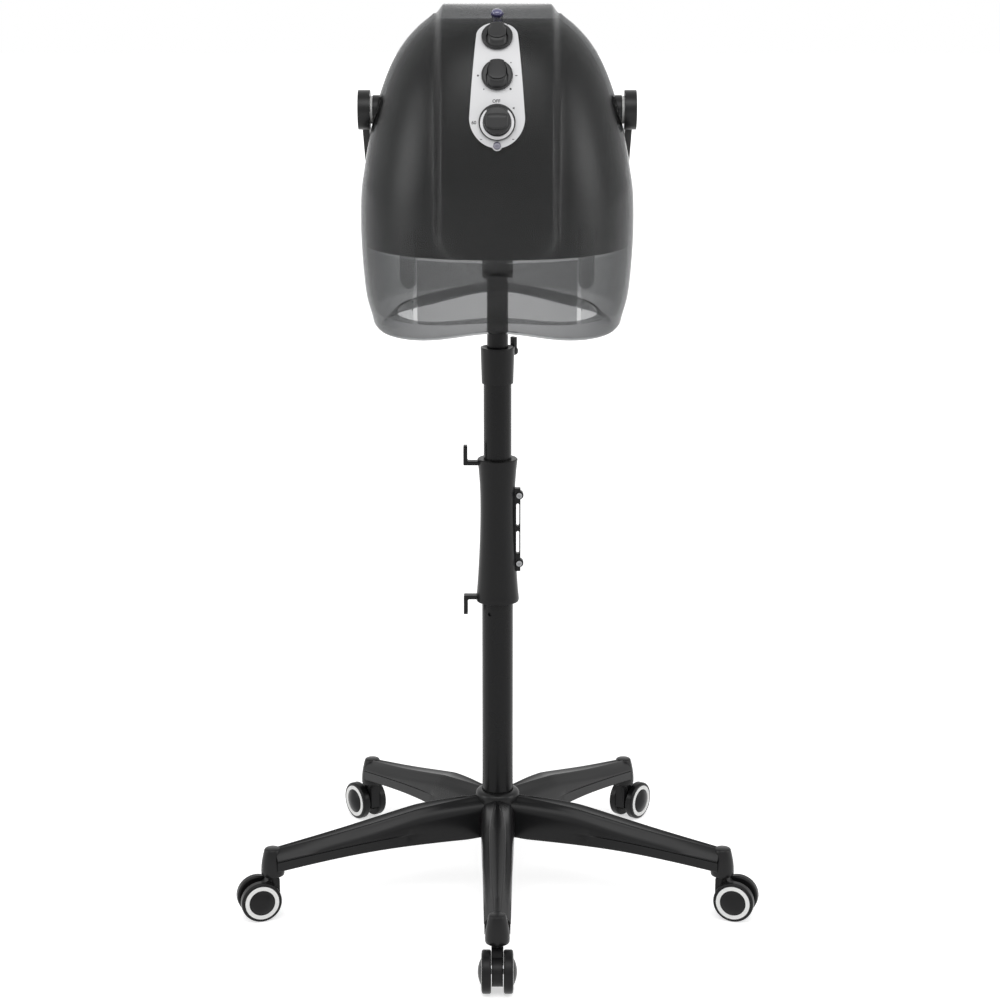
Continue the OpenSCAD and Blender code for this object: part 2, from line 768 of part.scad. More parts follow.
module pivot_bolts() {
    head_floor = eye_out - cap_t - bolt_head_t;
    color(steel) in_hood() for (side = [0, 1]) mirror([side, 0, 0]) {
        rod_x(bolt_head_r, head_floor, head_floor + bolt_head_t - seat_gap);
        rod_x(bolt_r, frame_x - frame_t - nut_t - 1, head_floor + 0.5);
        translate([frame_x - frame_t - nut_t, 0, 0]) rotate([0, 90, 0]) difference() {
            cylinder(r = bolt_r + 4, h = nut_t, $fn = 6);
            translate([0, 0, -1]) cylinder(r = bolt_r + run_gap, h = nut_t + 2);
        }
    }
}

module pivot_washers() {
    color(white) in_hood() for (side = [0, 1]) mirror([side, 0, 0])
        rotate([0, 90, 0]) tube(washer_r, bolt_r + run_gap, boss_out, washer_out);
}

module pivot_bosses() {
    color(black) in_hood() for (side = [0, 1]) mirror([side, 0, 0])
        rotate([0, 90, 0]) tube(boss_d / 2, bolt_r + run_gap, frame_x, boss_out);
}

// Steel strap inside the hood, from pivot to pivot over the motor
frame_gap = 6.65;
frame_x = hood_side + liner_in - frame_gap;
frame_t = 2.5;
frame_w = 20;
frame_top = hood_up - 17.5;

// Points of a path moved to its left by a distance, with mitred corners
function left_of(a, b) = [a[1] - b[1], b[0] - a[0]] / norm(b - a);
function inset(path, t) = let(last = len(path) - 1) [for (i = [0:last])
    let(before = left_of(path[max(0, i - 1)], path[max(1, i)]),
        after = left_of(path[min(last - 1, i)], path[min(last, i + 1)]))
    path[i] + (before + after) / (1 + before * after) * t];

module hood_frame() {
    right = [[frame_x, -boss_d / 2], [frame_x, 12], [frame_x * 0.857, frame_top * 0.558],
        [frame_x * 0.672, frame_top * 0.884], [frame_x * 0.47, frame_top]];
    strap = concat(right, mirrored(right));
    loop = concat(strap, reversed(inset(strap, frame_t)));
    color(steel) in_hood() difference() {
        translate([0, frame_w / 2, 0]) rotate([90, 0, 0]) linear_extrude(frame_w) polygon(loop);
        rod_x(bolt_r + run_gap, -frame_x - 1, frame_x + 1);
    }
}

// ---------------------------------------------------------------- hood surface
arch_width = 65;
side_steps = 7;

// Height, half-width, half-depth and rim arch at u along the outline
function outline(u) = let(i = clamp(floor(u), 0, crown_u - 1))
    spline(knot(i - 1), knot(i), knot(i + 1), knot(i + 2), u - i);
function outline_slope(u) = let(lo = max(0, u - 0.02), hi = min(crown_u, u + 0.02))
    (outline(hi) - outline(lo)) / (hi - lo);

// A column is [x, side] for a fixed x, or [share, side, sign, start x] round the side of the hood
function plan_y(x, a, b) = b * pow(max(0, 1 - pow(abs(x) / a, plan_power)), 1 / plan_power);
function column_xy(col, a, b) = len(col) == 2
    ? let(x = clamp(col[0], -0.985 * a, 0.985 * a)) [x, col[1] * plan_y(x, a, b)]
    : let(first = asin(pow(min(0.985, col[3] / a), plan_power / 2)), angle = mix(first, 90, col[0]))
        [col[2] * a * pow(sin(angle), 2 / plan_power),
            col[1] * b * pow(max(0, cos(angle)), 2 / plan_power)];

// Height of the centre band's relief at x, for an outline height z
function relief(x, z) =
    let(centre = band_round - band_end,
        inside = z > centre ? band_half - abs(x)
            : (1 - norm([x / band_half, (centre - z) / band_round])) * band_half * 0.8)
    band_rise * smooth(clamp(inside / band_bevel + 0.5, 0, 1));

// Point of the hood: u along the outline, a column, an offset outwards, and the band or not
function hood_point(u, col, offset, band) =
    let(p = outline(u), d = outline_slope(u), q = column_xy(col, p[1], p[2]), x = q[0], y = q[1],
        nx = sign(x) * pow(abs(x), plan_power - 1) / pow(p[1], plan_power),
        ny = sign(y) * pow(abs(y), plan_power - 1) / pow(p[2], plan_power),
        nz = -(pow(abs(x), plan_power) * d[1] / pow(p[1], plan_power + 1)
            + pow(abs(y), plan_power) * d[2] / pow(p[2], plan_power + 1)),
        normal = [nx * d[0], ny * d[0], nz],
        lift = [0, normal[1], normal[2] + 0.000001],
        arch = p[3] * exp(-pow(x / arch_width, 2)))
    [x, y, p[0] + arch] + normal / norm(normal) * offset
        + (band ? lift / norm(lift) * relief(x, p[0]) : [0, 0, 0]);

// Columns all round: right side, near side from right to left, left side, far side
bevel_step = band_bevel * 0.17;
BAND_X = [band_foot, band_half + bevel_step, band_half - bevel_step, band_top, band_top / 2, 0];
near_x = concat(BAND_X, [for (i = [len(BAND_X) - 2:-1:0]) -BAND_X[i]]);
function quarter(side, s, start, rising) =
    [for (i = [1:side_steps - 1]) [(rising ? i : side_steps - i) / side_steps, side, s, start]];
function round_columns(xs) = let(start = xs[0]) concat(
    [[1, -1, 1, start]], quarter(-1, 1, start, false), [for (x = xs) [x, -1]],
    quarter(-1, -1, start, true), [[1, -1, -1, start]],
    quarter(1, -1, start, false), [for (i = [len(xs) - 1:-1:0]) [xs[i], 1]],
    quarter(1, 1, start, true));

// Closed wall between two offsets of the hood's surface, on rows along its outline
module hood_wall(rows, cols, out, in, band = false, loop = true, crown = false) {
    sheet([for (u = rows) for (c = cols) hood_point(u, c, out, band)],
        [for (u = rows) for (c = cols) hood_point(u, c, in, band)], len(rows), loop, crown);
}

// Outline position at a height, on the stretch between the rim and the crown
function find_u(z, lo, hi, left) = let(mid = (lo + hi) / 2)
    left == 0 ? mid : outline(mid)[0] < z ? find_u(z, mid, hi, left - 1) : find_u(z, lo, mid, left - 1);
function u_at(z) = find_u(z, 2.5, crown_u - 0.1, 24);

UPPER_ROWS = [7, 8, 9, 10, 11, 12, 13, 13.7, 14.4, 15, 15.6, 16.2, crown_u];
BAND_END_ROWS = [5.65, 5.77, 5.89, 6.01, 6.13, 6.25, 6.4];
LIP_ROWS = [0, 0.6, 1.3, 2, 2.7, 3.4, 4.2, 5];
ROUND = round_columns(near_x);

// A frame on the band at a height: +Z out of the band, +Y up along it. side is -1 near, 1 far.
module on_band(h, side = -1) {
    u = u_at(h);
    seat = hood_point(u, [0, side], 0, true);
    out = hood_point(u, [0, side], 1, true) - seat;
    tilt = atan2(out[2], side * out[1]);
    translate(seat) rotate([side * (tilt - 90), 0, 0]) children();
}

// ---------------------------------------------------------------- hood shells
slit_x = hood_side - 14.05;
slit_w = 2.4;
slit_h = 26;
bushing_r = spindle_d / 2 + 1.6;
window_half = 24;
grille_low = hood_up - 83.5;
grille_high = hood_up - 31.5;
grille_half = 40;
gland_h = -90;
gland_r = gland_bore_d / 2 + 2.6;
upper_lamp_h = temperature_h + knob_d / 2 + 4.5;
lower_lamp_h = timer_h - timer_d / 2 - lower_lamp_d / 2 + 1.3;

module boss_holes() {
    rod_x(boss_d / 2 + seat_gap, -hood_w, hood_w);
}

// Everything that passes through the near side of the shell
module control_holes(grow) {
    for (h = [timer_h, speed_h, temperature_h]) on_band(h)
        translate([0, 0, -20]) cylinder(r = bushing_r + grow, h = 40);
    on_band(upper_lamp_h) translate([0, 0, -20]) cylinder(r = upper_lamp_d / 2 + grow, h = 40);
    on_band(lower_lamp_h) translate([0, 0, -20]) cylinder(r = lower_lamp_d / 2 + grow, h = 40);
}

module grille_window(grow) {
    low = outline(u_at(grille_low))[0];
    high = outline(u_at(grille_high))[0];
    half = grille_half - 5 + grow;
    translate([-half, 40, low + 5 - grow]) cube([2 * half, hood_d, high - low - 10 + 2 * grow]);
}

module bonnet_shell() {
    color(smoke) in_hood() difference() {
        hood_wall(concat(LIP_ROWS, BAND_END_ROWS, UPPER_ROWS), ROUND, 0, -shell_wall, true, true, true);
        boss_holes();
        control_holes(0.1);
        grille_window(0);
        on_band(gland_h, 1) translate([0, 0, -8]) cylinder(r = gland_r + run_gap, h = 20);
        for (side = [-1, 1]) translate([side * slit_x - slit_w / 2, -hood_d / 2, -slit_h / 2])
            cube([slit_w, hood_d / 2 - boss_d / 2 - 4, slit_h]);
    }
}

module hood_liner() {
    edge_u = u_at(-liner_edge);
    rows = concat([for (u = concat(BAND_END_ROWS, UPPER_ROWS)) if (u > edge_u + 0.05) u]);
    color(black) in_hood() difference() {
        hood_wall(concat([edge_u], rows), ROUND, liner_out, liner_in, false, true, true);
        boss_holes();
        grille_window(2);
        window_low = timer_h - 34;
        window_h = upper_lamp_h + 4 - window_low;
        translate([-window_half, -hood_d, window_low])
            cube([2 * window_half, hood_d - motor_d / 2, window_h]);
        on_band(gland_h, 1) translate([0, 0, -40]) cylinder(r = gland_r + 3, h = 60);
    }
}

// ---------------------------------------------------------------- skirt, shield and clips
skirt_low = 4.2;
skirt_high = u_at(-liner_edge - 3);
SKIRT_ROWS = [skirt_low, 4.6, 5, 5.35, skirt_high];
skirt_start = shield_half + shield_slit;
SKIRT_X = [skirt_start, band_foot, band_top / 2, 0, -band_top / 2, -band_foot, -skirt_start];
skirt_round = round_columns(SKIRT_X);

// The inner skirt runs from beside the face shield round the back
module inner_skirt() {
    right = [for (i = [side_steps:-1:0]) [i / side_steps, -1, 1, skirt_start]];
    left = [for (i = [0:side_steps]) [i / side_steps, -1, -1, skirt_start]];
    far = [for (c = skirt_round) if (c[1] == 1) c];
    cols = concat(left, far, [for (i = [0:side_steps]) right[i]]);
    color(smoke) in_hood() hood_wall(SKIRT_ROWS, cols, liner_out, liner_in, false, false);
}

module face_shield() {
    flange_w = 6.4;
    flange_t = 2;
    sheet = [for (x = [shield_half, shield_half - flange_w, band_top, band_top / 2, 0]) x];
    cols = [for (x = concat(sheet, [for (i = [len(sheet) - 2:-1:0]) -sheet[i]])) [x, -1]];
    color(smoke) in_hood() {
        hood_wall(SKIRT_ROWS, cols, liner_out, liner_in, false, false);
        for (s = [-1, 1]) {
            edges = [shield_half, shield_half - flange_w] * s;
            flange_cols = [for (x = s > 0 ? edges : reversed(edges)) [x, -1]];
            hood_wall(SKIRT_ROWS, flange_cols, liner_in + 0.2, liner_in - flange_t, false, false);
        }
    }
}

clip_out = -shell_wall - 1;
clip_in = liner_out + 0.4;
clip_centre = shield_half + shield_slit / 2 + 6;
clip_low = -liner_edge - 34;
clip_shares = [0, 0.01, 0.035, 0.08, 0.14, 0.4, 0.7, 1];

// Half-width of a clip at a share of its length, with a round lower end
function clip_half(t) =
    let(r = clip_w / 2, s = t * clip_len) s < r ? sqrt(max(0.5, r * r - pow(r - s, 2))) : r;

// One clip, at the right or left and on the near or far side
module skirt_clip(s, side) {
    low = u_at(clip_low);
    high = u_at(clip_low + clip_len);
    across = s * side < 0 ? [1, 0, -1] : [-1, 0, 1];
    function layer(offset) = [for (t = clip_shares) for (c = across)
        hood_point(mix(low, high, t), [s * (clip_centre + c * clip_half(t)), side], offset, false)];
    sheet(layer(clip_out), layer(clip_in), len(clip_shares));
}

module skirt_clips() {
    color(smoke) in_hood() for (s = [-1, 1]) for (side = [-1, 1]) skirt_clip(s, side);
}

// ---------------------------------------------------------------- plenum ring and diffuser
ring_z = -liner_edge + 9;
ring_t = 2.5;
diffuser_top = 20;
diffuser_shoulder = -60;
diffuser_crown = 38;
diffuser_wall = 2;
diffuser_arc = 8;
diffuser_slack = 0.3;

// The diffuser goes between the pivot nuts and behind the timer's movement
nut_r = bolt_r + 4;
nut_in = frame_x - frame_t - nut_t - 1;
side_room = nut_in - diffuser_gap + diffuser_crown * (1 - dome_share(-nut_r));
front_room = hood_front + switch_seat - timer_depth - diffuser_slack;
diffuser_r = min(side_room, front_room);
diffuser_flat_r = diffuser_r - diffuser_crown;

module plenum_ring() {
    u = u_at(ring_z);
    edge = [for (c = ROUND) hood_point(u, c, liner_in - 0.5, false)];
    color(black) in_hood() translate([0, 0, ring_z]) difference() {
        linear_extrude(ring_t) polygon([for (p = edge) [p[0], p[1]]]);
        translate([0, 0, -1]) cylinder(r = diffuser_r + seat_gap, h = ring_t + 2);
    }
}

function dome_share(z) = let(t = (z - diffuser_shoulder) / (diffuser_top - diffuser_shoulder))
    sqrt(max(0, 1 - t * t));
function dome_r(z) = diffuser_flat_r + diffuser_crown * dome_share(z);

module diffuser() {
    flange_r = diffuser_r + 5;
    flange_t = 2;
    steps = [for (i = [0:diffuser_arc]) mix(diffuser_shoulder, diffuser_top, sin(90 * i / diffuser_arc))];
    outer = [for (z = steps) [dome_r(z), z]];
    inner = [for (z = reversed(steps)) [dome_r(z) - diffuser_wall, min(z, diffuser_top - diffuser_wall)]];
    row_pitch = 24;
    first_row = diffuser_shoulder - 38;
    color(black) in_hood() difference() {
        rotate_extrude($fn = 96) polygon(concat(
            [[0, diffuser_top], [0, diffuser_top - diffuser_wall]], inner,
            [[diffuser_r - diffuser_wall, ring_z - flange_t], [flange_r, ring_z - flange_t],
                [flange_r, ring_z], [diffuser_r, ring_z]], outer));
        for (row = [0:air_rows - 1]) for (i = [0:air_holes - 1]) rotate((i + row / 2) * 360 / air_holes)
            translate([diffuser_r * 0.6, 0, first_row + row * row_pitch])
                rotate([0, 90, 0]) cylinder(d = air_hole_d, h = diffuser_r);
        for (i = [0:7]) rotate(i * 45) translate([diffuser_flat_r * 0.55, 0, diffuser_top - 10])
            cylinder(d = air_hole_d, h = 20);
        translate([0, 0, diffuser_top - 10]) cylinder(d = air_hole_d, h = 20);
    }
}

// ---------------------------------------------------------------- controls
plate_top_r = knob_d / 2 + 5;
plate_bottom_r = timer_d / 2 + 9.15;
plate_gap = 0.25;
plate_rows = 18;
plate_cols = [1, 0.6, 0, -0.6, -1];
plate_low_u = u_at(lower_lamp_h - 2.4);
plate_high_u = u_at(upper_lamp_h - 8);

function band_centre(u) = hood_point(u, [0, -1], plate_gap + plate_t, true);
function plate_length(i) = i == 0 ? 0 : plate_length(i - 1)
    + norm(band_centre(mix(plate_low_u, plate_high_u, i / plate_rows))
        - band_centre(mix(plate_low_u, plate_high_u, (i - 1) / plate_rows)));
plate_len = plate_length(plate_rows);

// Half-width of the teardrop plate at a share of its length, bottom to top
function plate_half(t) =
    let(s = t * plate_len, low = plate_bottom_r, high = plate_len - plate_top_r)
    s < low ? sqrt(max(0.2, low * low - pow(low - s, 2)))
        : s > high ? sqrt(max(0.2, pow(plate_top_r, 2) - pow(s - high, 2)))
        : mix(plate_bottom_r, plate_top_r, (s - low) / (high - low));

// Share of the plate's length for each row, closer together at its round ends
function plate_share(i) = (1 - cos(180 * i / plate_rows)) / 2;

module control_plate() {
    shares = [for (i = [0:plate_rows]) plate_share(i)];
    function layer(offset) = [for (t = shares) for (c = plate_cols)
        hood_point(mix(plate_low_u, plate_high_u, t), [c * plate_half(t), -1], offset, true)];
    color(silver) in_hood() difference() {
        sheet(layer(plate_gap + plate_t), layer(plate_gap), len(shares));
        control_holes(0.1);
    }
}

// Knob on its seat: a skirt, a grip bar and the spindle that goes into its switch
knob_lift = plate_gap + plate_t + seat_gap;

module spindle() {
    translate([0, 0, -switch_depth]) cylinder(d = spindle_d, h = switch_depth + knob_lift + 2);
}

module bar_knob(h) {
    skirt_t = 3.5;
    grip_w = 15;
    grip_h = 17;
    color(soft_black) in_hood() on_band(h) {
        spindle();
        translate([0, 0, knob_lift]) {
            cylinder(d = knob_d, h = skirt_t);
            intersection() {
                cylinder(d = knob_d - 1, h = grip_h);
                translate([-grip_w / 2, -knob_d / 2, 0]) cube([grip_w, knob_d, grip_h]);
            }
            translate([-grip_w / 2, 0, 0]) cube([grip_w, knob_d / 2 + 1.5, grip_h - 2]);
        }
    }
}

module temperature_knob() {
    bar_knob(temperature_h);
}

module speed_knob() {
    bar_knob(speed_h);
}

module timer_knob() {
    skirt_t = 3;
    grip_r = 15;
    grip_h = 16;
    color(soft_black) in_hood() on_band(timer_h) {
        spindle();
        translate([0, 0, knob_lift]) {
            cylinder(d = timer_d, h = skirt_t);
            cylinder(r1 = grip_r, r2 = grip_r - 1, h = grip_h);
            translate([-1, 0, 0]) cube([2, grip_r + 2.5, grip_h - 3]);
        }
    }
}

// Two domed lenses on stems through the shell
module lamp(d, proud) {
    flange = 1.2;
    flange_gap = 1;
    translate([0, 0, -10]) cylinder(d = d, h = 10 + proud);
    translate([0, 0, proud]) intersection() {
        translate([0, 0, -d / 4]) sphere(r = d * 0.559);
        cylinder(d = d, h = d);
    }
    translate([0, 0, -shell_wall - flange_gap - flange]) cylinder(d = d + 3, h = flange);
}

module indicator_lamps() {
    color([0.25, 0.22, 0.55]) in_hood() {
        on_band(upper_lamp_h) lamp(upper_lamp_d, 1.5);
        on_band(lower_lamp_h) lamp(lower_lamp_d, 1.8);
    }
}

switch_depth = 14;

module switch_body(w, l, depth) {
    difference() {
        union() {
            translate([-w / 2, -l / 2, switch_seat - depth]) cube([w, l, depth]);
            rod(bushing_r, switch_seat - 1, plate_gap + plate_t);
        }
        rod(spindle_d / 2 + run_gap, -switch_depth - seat_gap, switch_depth);
    }
}

module rotary_switches() {
    color(white) in_hood() for (h = [speed_h, temperature_h]) on_band(h) switch_body(24, 26, 15);
}

module timer_unit() {
    color(white) in_hood() on_band(timer_h) switch_body(38, 30, timer_depth);
}

// ---------------------------------------------------------------- air unit
heater_wall = 2;
heater_r = diffuser_flat_r - heater_inset;
fan_r = heater_r - heater_wall - fan_gap;
fan_low = 24;
blade_h = 14;
motor_top = frame_top - frame_t;
motor_h = motor_top - fan_low - blade_h - 7.5;
shaft_r = 3;

module fan_motor() {
    low = motor_top - motor_h;
    color(steel) in_hood() difference() {
        union() {
            rod(motor_d / 2, low + 4, motor_top);
            rod(motor_d / 2 - 8, low, low + 4);
        }
        rod(shaft_r + run_gap, low - 1, low + 20);
    }
}

module fan_wheel() {
    hub = 11;
    blade_t = 1.6;
    blade_in = 24;
    shaft_top = motor_top - motor_h + 19;
    color(soft_black) in_hood() {
        rod(shaft_r, fan_low, shaft_top);
        rod(fan_r, fan_low, fan_low + 2);
        rod(hub, fan_low, fan_low + blade_h);
        for (i = [0:fan_blades - 1]) rotate(i * 360 / fan_blades)
            translate([blade_in, -blade_t / 2, fan_low + 1])
                cube([fan_r - blade_in - 0.5, blade_t, blade_h]);
    }
}

heater_h = 24;
wire_r = 1.2;

module heater_frame() {
    color([0.75, 0.7, 0.6]) in_hood() {
        tube(heater_r, heater_r - heater_wall, diffuser_top, diffuser_top + heater_h);
        tube(heater_r + 5, heater_r - heater_wall, diffuser_top, diffuser_top + 1.5);
    }
}

module heater_wire() {
    pitch = (heater_h - 6) / heater_turns;
    color(steel) in_hood() for (i = [0:heater_turns - 1])
        translate([0, 0, diffuser_top + 4 + i * pitch]) rotate_extrude($fn = 64)
            translate([heater_r + wire_r + 0.1, 0]) circle(r = wire_r, $fn = 16);
}

// Flat thermostat disc under the fan, just inside the heater's frame
module thermostat() {
    r = 5.5;
    top = fan_low - 0.8;
    color(white) in_hood() translate([0, 3 + r - heater_r, 0]) {
        rod(r, diffuser_top, top - 1);
        rod(r - 2, top - 1.5, top);
    }
}

// Slotted cover over the air inlet at the back of the band
module intake_grille() {
    low = u_at(grille_low);
    high = u_at(grille_high);
    slots = 6;
    xs = [-grille_half, -grille_half / 2, 0, grille_half / 2, grille_half];
    z0 = outline(low)[0] + 9;
    z1 = outline(high)[0] - 5;
    color(black) in_hood() difference() {
        hood_wall([for (i = [0:6]) mix(low, high, i / 6)], [for (x = xs) [x, 1]], 2.4, 0.4, true, false);
        for (i = [0:slots - 1]) translate([-grille_half + 8, 40, mix(z0, z1, i / (slots - 1)) - 1.6])
            cube([2 * grille_half - 16, hood_d, 3.2]);
    }
}

module cable_gland() {
    nut_gap = 0.9;
    color(black) in_hood() on_band(gland_h, 1) difference() {
        union() {
            translate([0, 0, -shell_wall - 12]) cylinder(r = gland_r, h = shell_wall + 14);
            translate([0, 0, seat_gap]) cylinder(r = gland_r + 3, h = 3);
            translate([0, 0, 3]) cylinder(r1 = gland_r + 1.5, r2 = gland_r - 0.5, h = 9);
            translate([0, 0, -shell_wall - nut_gap - 4]) cylinder(r = gland_r + 3, h = 4, $fn = 6);
        }
        translate([0, 0, -40]) cylinder(d = gland_bore_d, h = 80);
    }
}

// ---------------------------------------------------------------- assembly
star_base();
lower_tube();
mid_tube();
upper_tube();
mid_glide();
upper_glide();
mast_sleeve();
clamp_bar();
sleeve_screws();
cord_hooks();
clamp_collar();
collar_lever();
yoke();
pivot_caps();
pivot_bolts();
pivot_washers();
pivot_bosses();
hood_frame();
bonnet_shell();
hood_liner();
inner_skirt();
face_shield();
skirt_clips();
plenum_ring();
diffuser();
control_plate();
temperature_knob();
speed_knob();
timer_knob();
indicator_lamps();
rotary_switches();
timer_unit();
fan_motor();
fan_wheel();
heater_frame();
heater_wire();
thermostat();
intake_grille();
cable_gland();
caster_fork(1);  // caster_fork_1
caster_fork(2);  // caster_fork_2
caster_fork(3);  // caster_fork_3
caster_fork(4);  // caster_fork_4
caster_fork(5);  // caster_fork_5
caster_pins(1);  // caster_pins_1
caster_pins(2);  // caster_pins_2
caster_pins(3);  // caster_pins_3
caster_pins(4);  // caster_pins_4
caster_pins(5);  // caster_pins_5
caster_wheels(1);  // caster_wheels_1
caster_wheels(2);  // caster_wheels_2
caster_wheels(3);  // caster_wheels_3
caster_wheels(4);  // caster_wheels_4
caster_wheels(5);  // caster_wheels_5
caster_rings(1);  // caster_rings_1
caster_rings(2);  // caster_rings_2
caster_rings(3);  // caster_rings_3
caster_rings(4);  // caster_rings_4
caster_rings(5);  // caster_rings_5
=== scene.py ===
"""Looks of a hood hair dryer on a five-leg rolling stand. Metres, +Z up, -Y towards the client's side."""

import math

import bmesh
import bpy
import numpy as np
from mathutils import Matrix, Vector


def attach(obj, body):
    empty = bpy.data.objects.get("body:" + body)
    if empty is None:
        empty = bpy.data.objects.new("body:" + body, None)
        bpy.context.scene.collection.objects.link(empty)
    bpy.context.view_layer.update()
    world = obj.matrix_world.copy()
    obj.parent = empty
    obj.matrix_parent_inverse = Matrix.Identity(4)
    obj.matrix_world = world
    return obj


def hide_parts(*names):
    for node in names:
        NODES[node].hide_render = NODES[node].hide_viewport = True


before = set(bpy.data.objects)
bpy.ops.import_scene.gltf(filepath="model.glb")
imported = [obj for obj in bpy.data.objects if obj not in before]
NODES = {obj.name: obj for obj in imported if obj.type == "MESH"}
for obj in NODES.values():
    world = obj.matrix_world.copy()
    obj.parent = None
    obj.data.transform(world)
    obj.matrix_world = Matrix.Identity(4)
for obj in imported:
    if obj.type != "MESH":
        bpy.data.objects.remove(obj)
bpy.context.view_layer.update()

MM = 0.001
LEGS = 5

# ---------------------------------------------------------------- camera
CAMERA_AT = (0.003, -2.813, 1.180)
CAMERA_DOWN = 13.5
CAMERA_LENS = 85.32
CAMERA_SENSOR = 36
CAMERA_FAR = 60


def make_camera():
    data = bpy.data.cameras.new("camera")
    data.sensor_fit = "HORIZONTAL"
    data.sensor_width = CAMERA_SENSOR
    data.lens = CAMERA_LENS
    data.clip_end = CAMERA_FAR
    camera = bpy.data.objects.new("camera", data)
    camera.location = CAMERA_AT
    camera.rotation_euler = (math.radians(90 - CAMERA_DOWN), 0, 0)
    bpy.context.scene.collection.objects.link(camera)
    bpy.context.scene.camera = camera


# ---------------------------------------------------------------- shader helpers
NOISE_SPAN = (0.3, 0.7)


def new_material(name):
    material = bpy.data.materials.new(name)
    material.use_nodes = True
    return material, material.node_tree.nodes, material.node_tree.links


def preset(node, values):
    for key, value in values.items():
        node.inputs[key].default_value = value


def combined(nodes, links, operation, first, second):
    """The result of a maths node fed by two others."""
    node = nodes.new("ShaderNodeMath")
    node.operation = operation
    links.new(first, node.inputs[0])
    links.new(second, node.inputs[1])
    return node.outputs[0]


def mapped(nodes, links, source, inputs, outputs, smooth=False):
    """A number that runs over outputs while source runs over inputs."""
    node = nodes.new("ShaderNodeMapRange")
    if smooth:
        node.interpolation_type = "SMOOTHSTEP"
    preset(node, dict(zip(("From Min", "From Max", "To Min", "To Max"), (*inputs, *outputs))))
    links.new(source, node.inputs["Value"])
    return node.outputs["Result"]


def object_noise(nodes, links, scale, detail=4, roughness=0.55, stretch=None):
    """Noise fixed to the piece, drawn out along an axis where a stretch is given."""
    place = nodes.new("ShaderNodeTexCoord").outputs["Object"]
    if stretch:
        mapping = nodes.new("ShaderNodeMapping")
        preset(mapping, {"Scale": stretch})
        links.new(place, mapping.inputs["Vector"])
        place = mapping.outputs["Vector"]
    noise = nodes.new("ShaderNodeTexNoise")
    preset(noise, {"Scale": scale, "Detail": detail, "Roughness": roughness})
    links.new(place, noise.inputs["Vector"])
    return noise.outputs["Fac"]


def vary_tone(nodes, links, shader, noise, dark, light):
    """Lets the base colour run from dark to light with the noise."""
    mix = nodes.new("ShaderNodeMix")
    mix.data_type = "RGBA"
    preset(mix, {"A": (*dark, 1), "B": (*light, 1)})
    links.new(mapped(nodes, links, noise, NOISE_SPAN, (0, 1)), mix.inputs["Factor"])
    links.new(mix.outputs["Result"], shader.inputs["Base Color"])


def vary_shine(nodes, links, shader, noise, low, high):
    """Lets the roughness run from low to high with the noise."""
    links.new(mapped(nodes, links, noise, NOISE_SPAN, (low, high)), shader.inputs["Roughness"])


def bump(nodes, links, shader, height, strength, distance):
    node = nodes.new("ShaderNodeBump")
    preset(node, {"Strength": strength, "Distance": distance})
    links.new(height, node.inputs["Height"])
    links.new(node.outputs["Normal"], shader.inputs["Normal"])


# ---------------------------------------------------------------- materials
TONE_SCALE = 9
GRAIN_DEPTH, GRAIN_STRENGTH = 0.00001, 0.35
METAL_GRAIN = 500
# Shares of a colour and of a roughness between which a surface varies
METAL_DARK = 0.88
MOULDED_SHINE = (0.88, 1.12)
METAL_SHINE = (0.8, 1.25)
COAT_ROUGH = 0.12
SMOKED_COLOUR = (0.796, 0.8, 0.804)
SMOKED_IOR = 1.02
SMOKED_ROUGH = 0.02
SMOKED_COAT, SMOKED_COAT_ROUGH = 0.4, 0.24
FLOW_SCALE, FLOW_DEPTH, FLOW_STRENGTH = 14, 0.0003, 0.2


def moulded(name, colour, rough, grain=2200, vary=0.12, specular=0.35, coat=0.0):
    """Moulded plastic: fine grain, a slow change of tone and of shine."""
    material, nodes, links = new_material(name)
    shader = nodes["Principled BSDF"]
    preset(shader, {"Specular IOR Level": specular, "Coat Weight": coat, "Coat Roughness": COAT_ROUGH})
    slow = object_noise(nodes, links, TONE_SCALE)
    dark = [c * (1 - vary) for c in colour]
    light = [c * (1 + vary) for c in colour]
    vary_tone(nodes, links, shader, slow, dark, light)
    vary_shine(nodes, links, shader, slow, *(rough * share for share in MOULDED_SHINE))
    fine = object_noise(nodes, links, grain, detail=2)
    bump(nodes, links, shader, fine, GRAIN_STRENGTH, GRAIN_DEPTH)
    return material


def metal(name, colour, rough, stretch=(1, 1, 1)):
    """Plated steel with fine drawing lines across the stretched direction."""
    material, nodes, links = new_material(name)
    shader = nodes["Principled BSDF"]
    preset(shader, {"Metallic": 1})
    noise = object_noise(nodes, links, METAL_GRAIN, detail=2, roughness=0.5, stretch=stretch)
    vary_tone(nodes, links, shader, noise, [c * METAL_DARK for c in colour], colour)
    vary_shine(nodes, links, shader, noise, *(rough * share for share in METAL_SHINE))
    return material


def clear_smoked(name, tint, density):
    """Smoked clear plastic: a tint, a darkening with the depth looked through, and faint flow waves."""
    material, nodes, links = new_material(name)
    shader = nodes["Principled BSDF"]
    preset(shader, {"Transmission Weight": 1, "IOR": SMOKED_IOR, "Base Color": (tint, tint, tint, 1),
                    "Roughness": SMOKED_ROUGH, "Coat Weight": SMOKED_COAT,
                    "Coat Roughness": SMOKED_COAT_ROUGH})
    flow = object_noise(nodes, links, FLOW_SCALE, detail=1)
    bump(nodes, links, shader, flow, FLOW_STRENGTH, FLOW_DEPTH)
    smoke = nodes.new("ShaderNodeVolumeAbsorption")
    preset(smoke, {"Color": (*SMOKED_COLOUR, 1), "Density": density})
    links.new(smoke.outputs["Volume"], nodes["Material Output"].inputs["Volume"])
    return material


BLACK = (0.008, 0.008, 0.0084)
SOFT_BLACK = (0.018, 0.018, 0.0185)

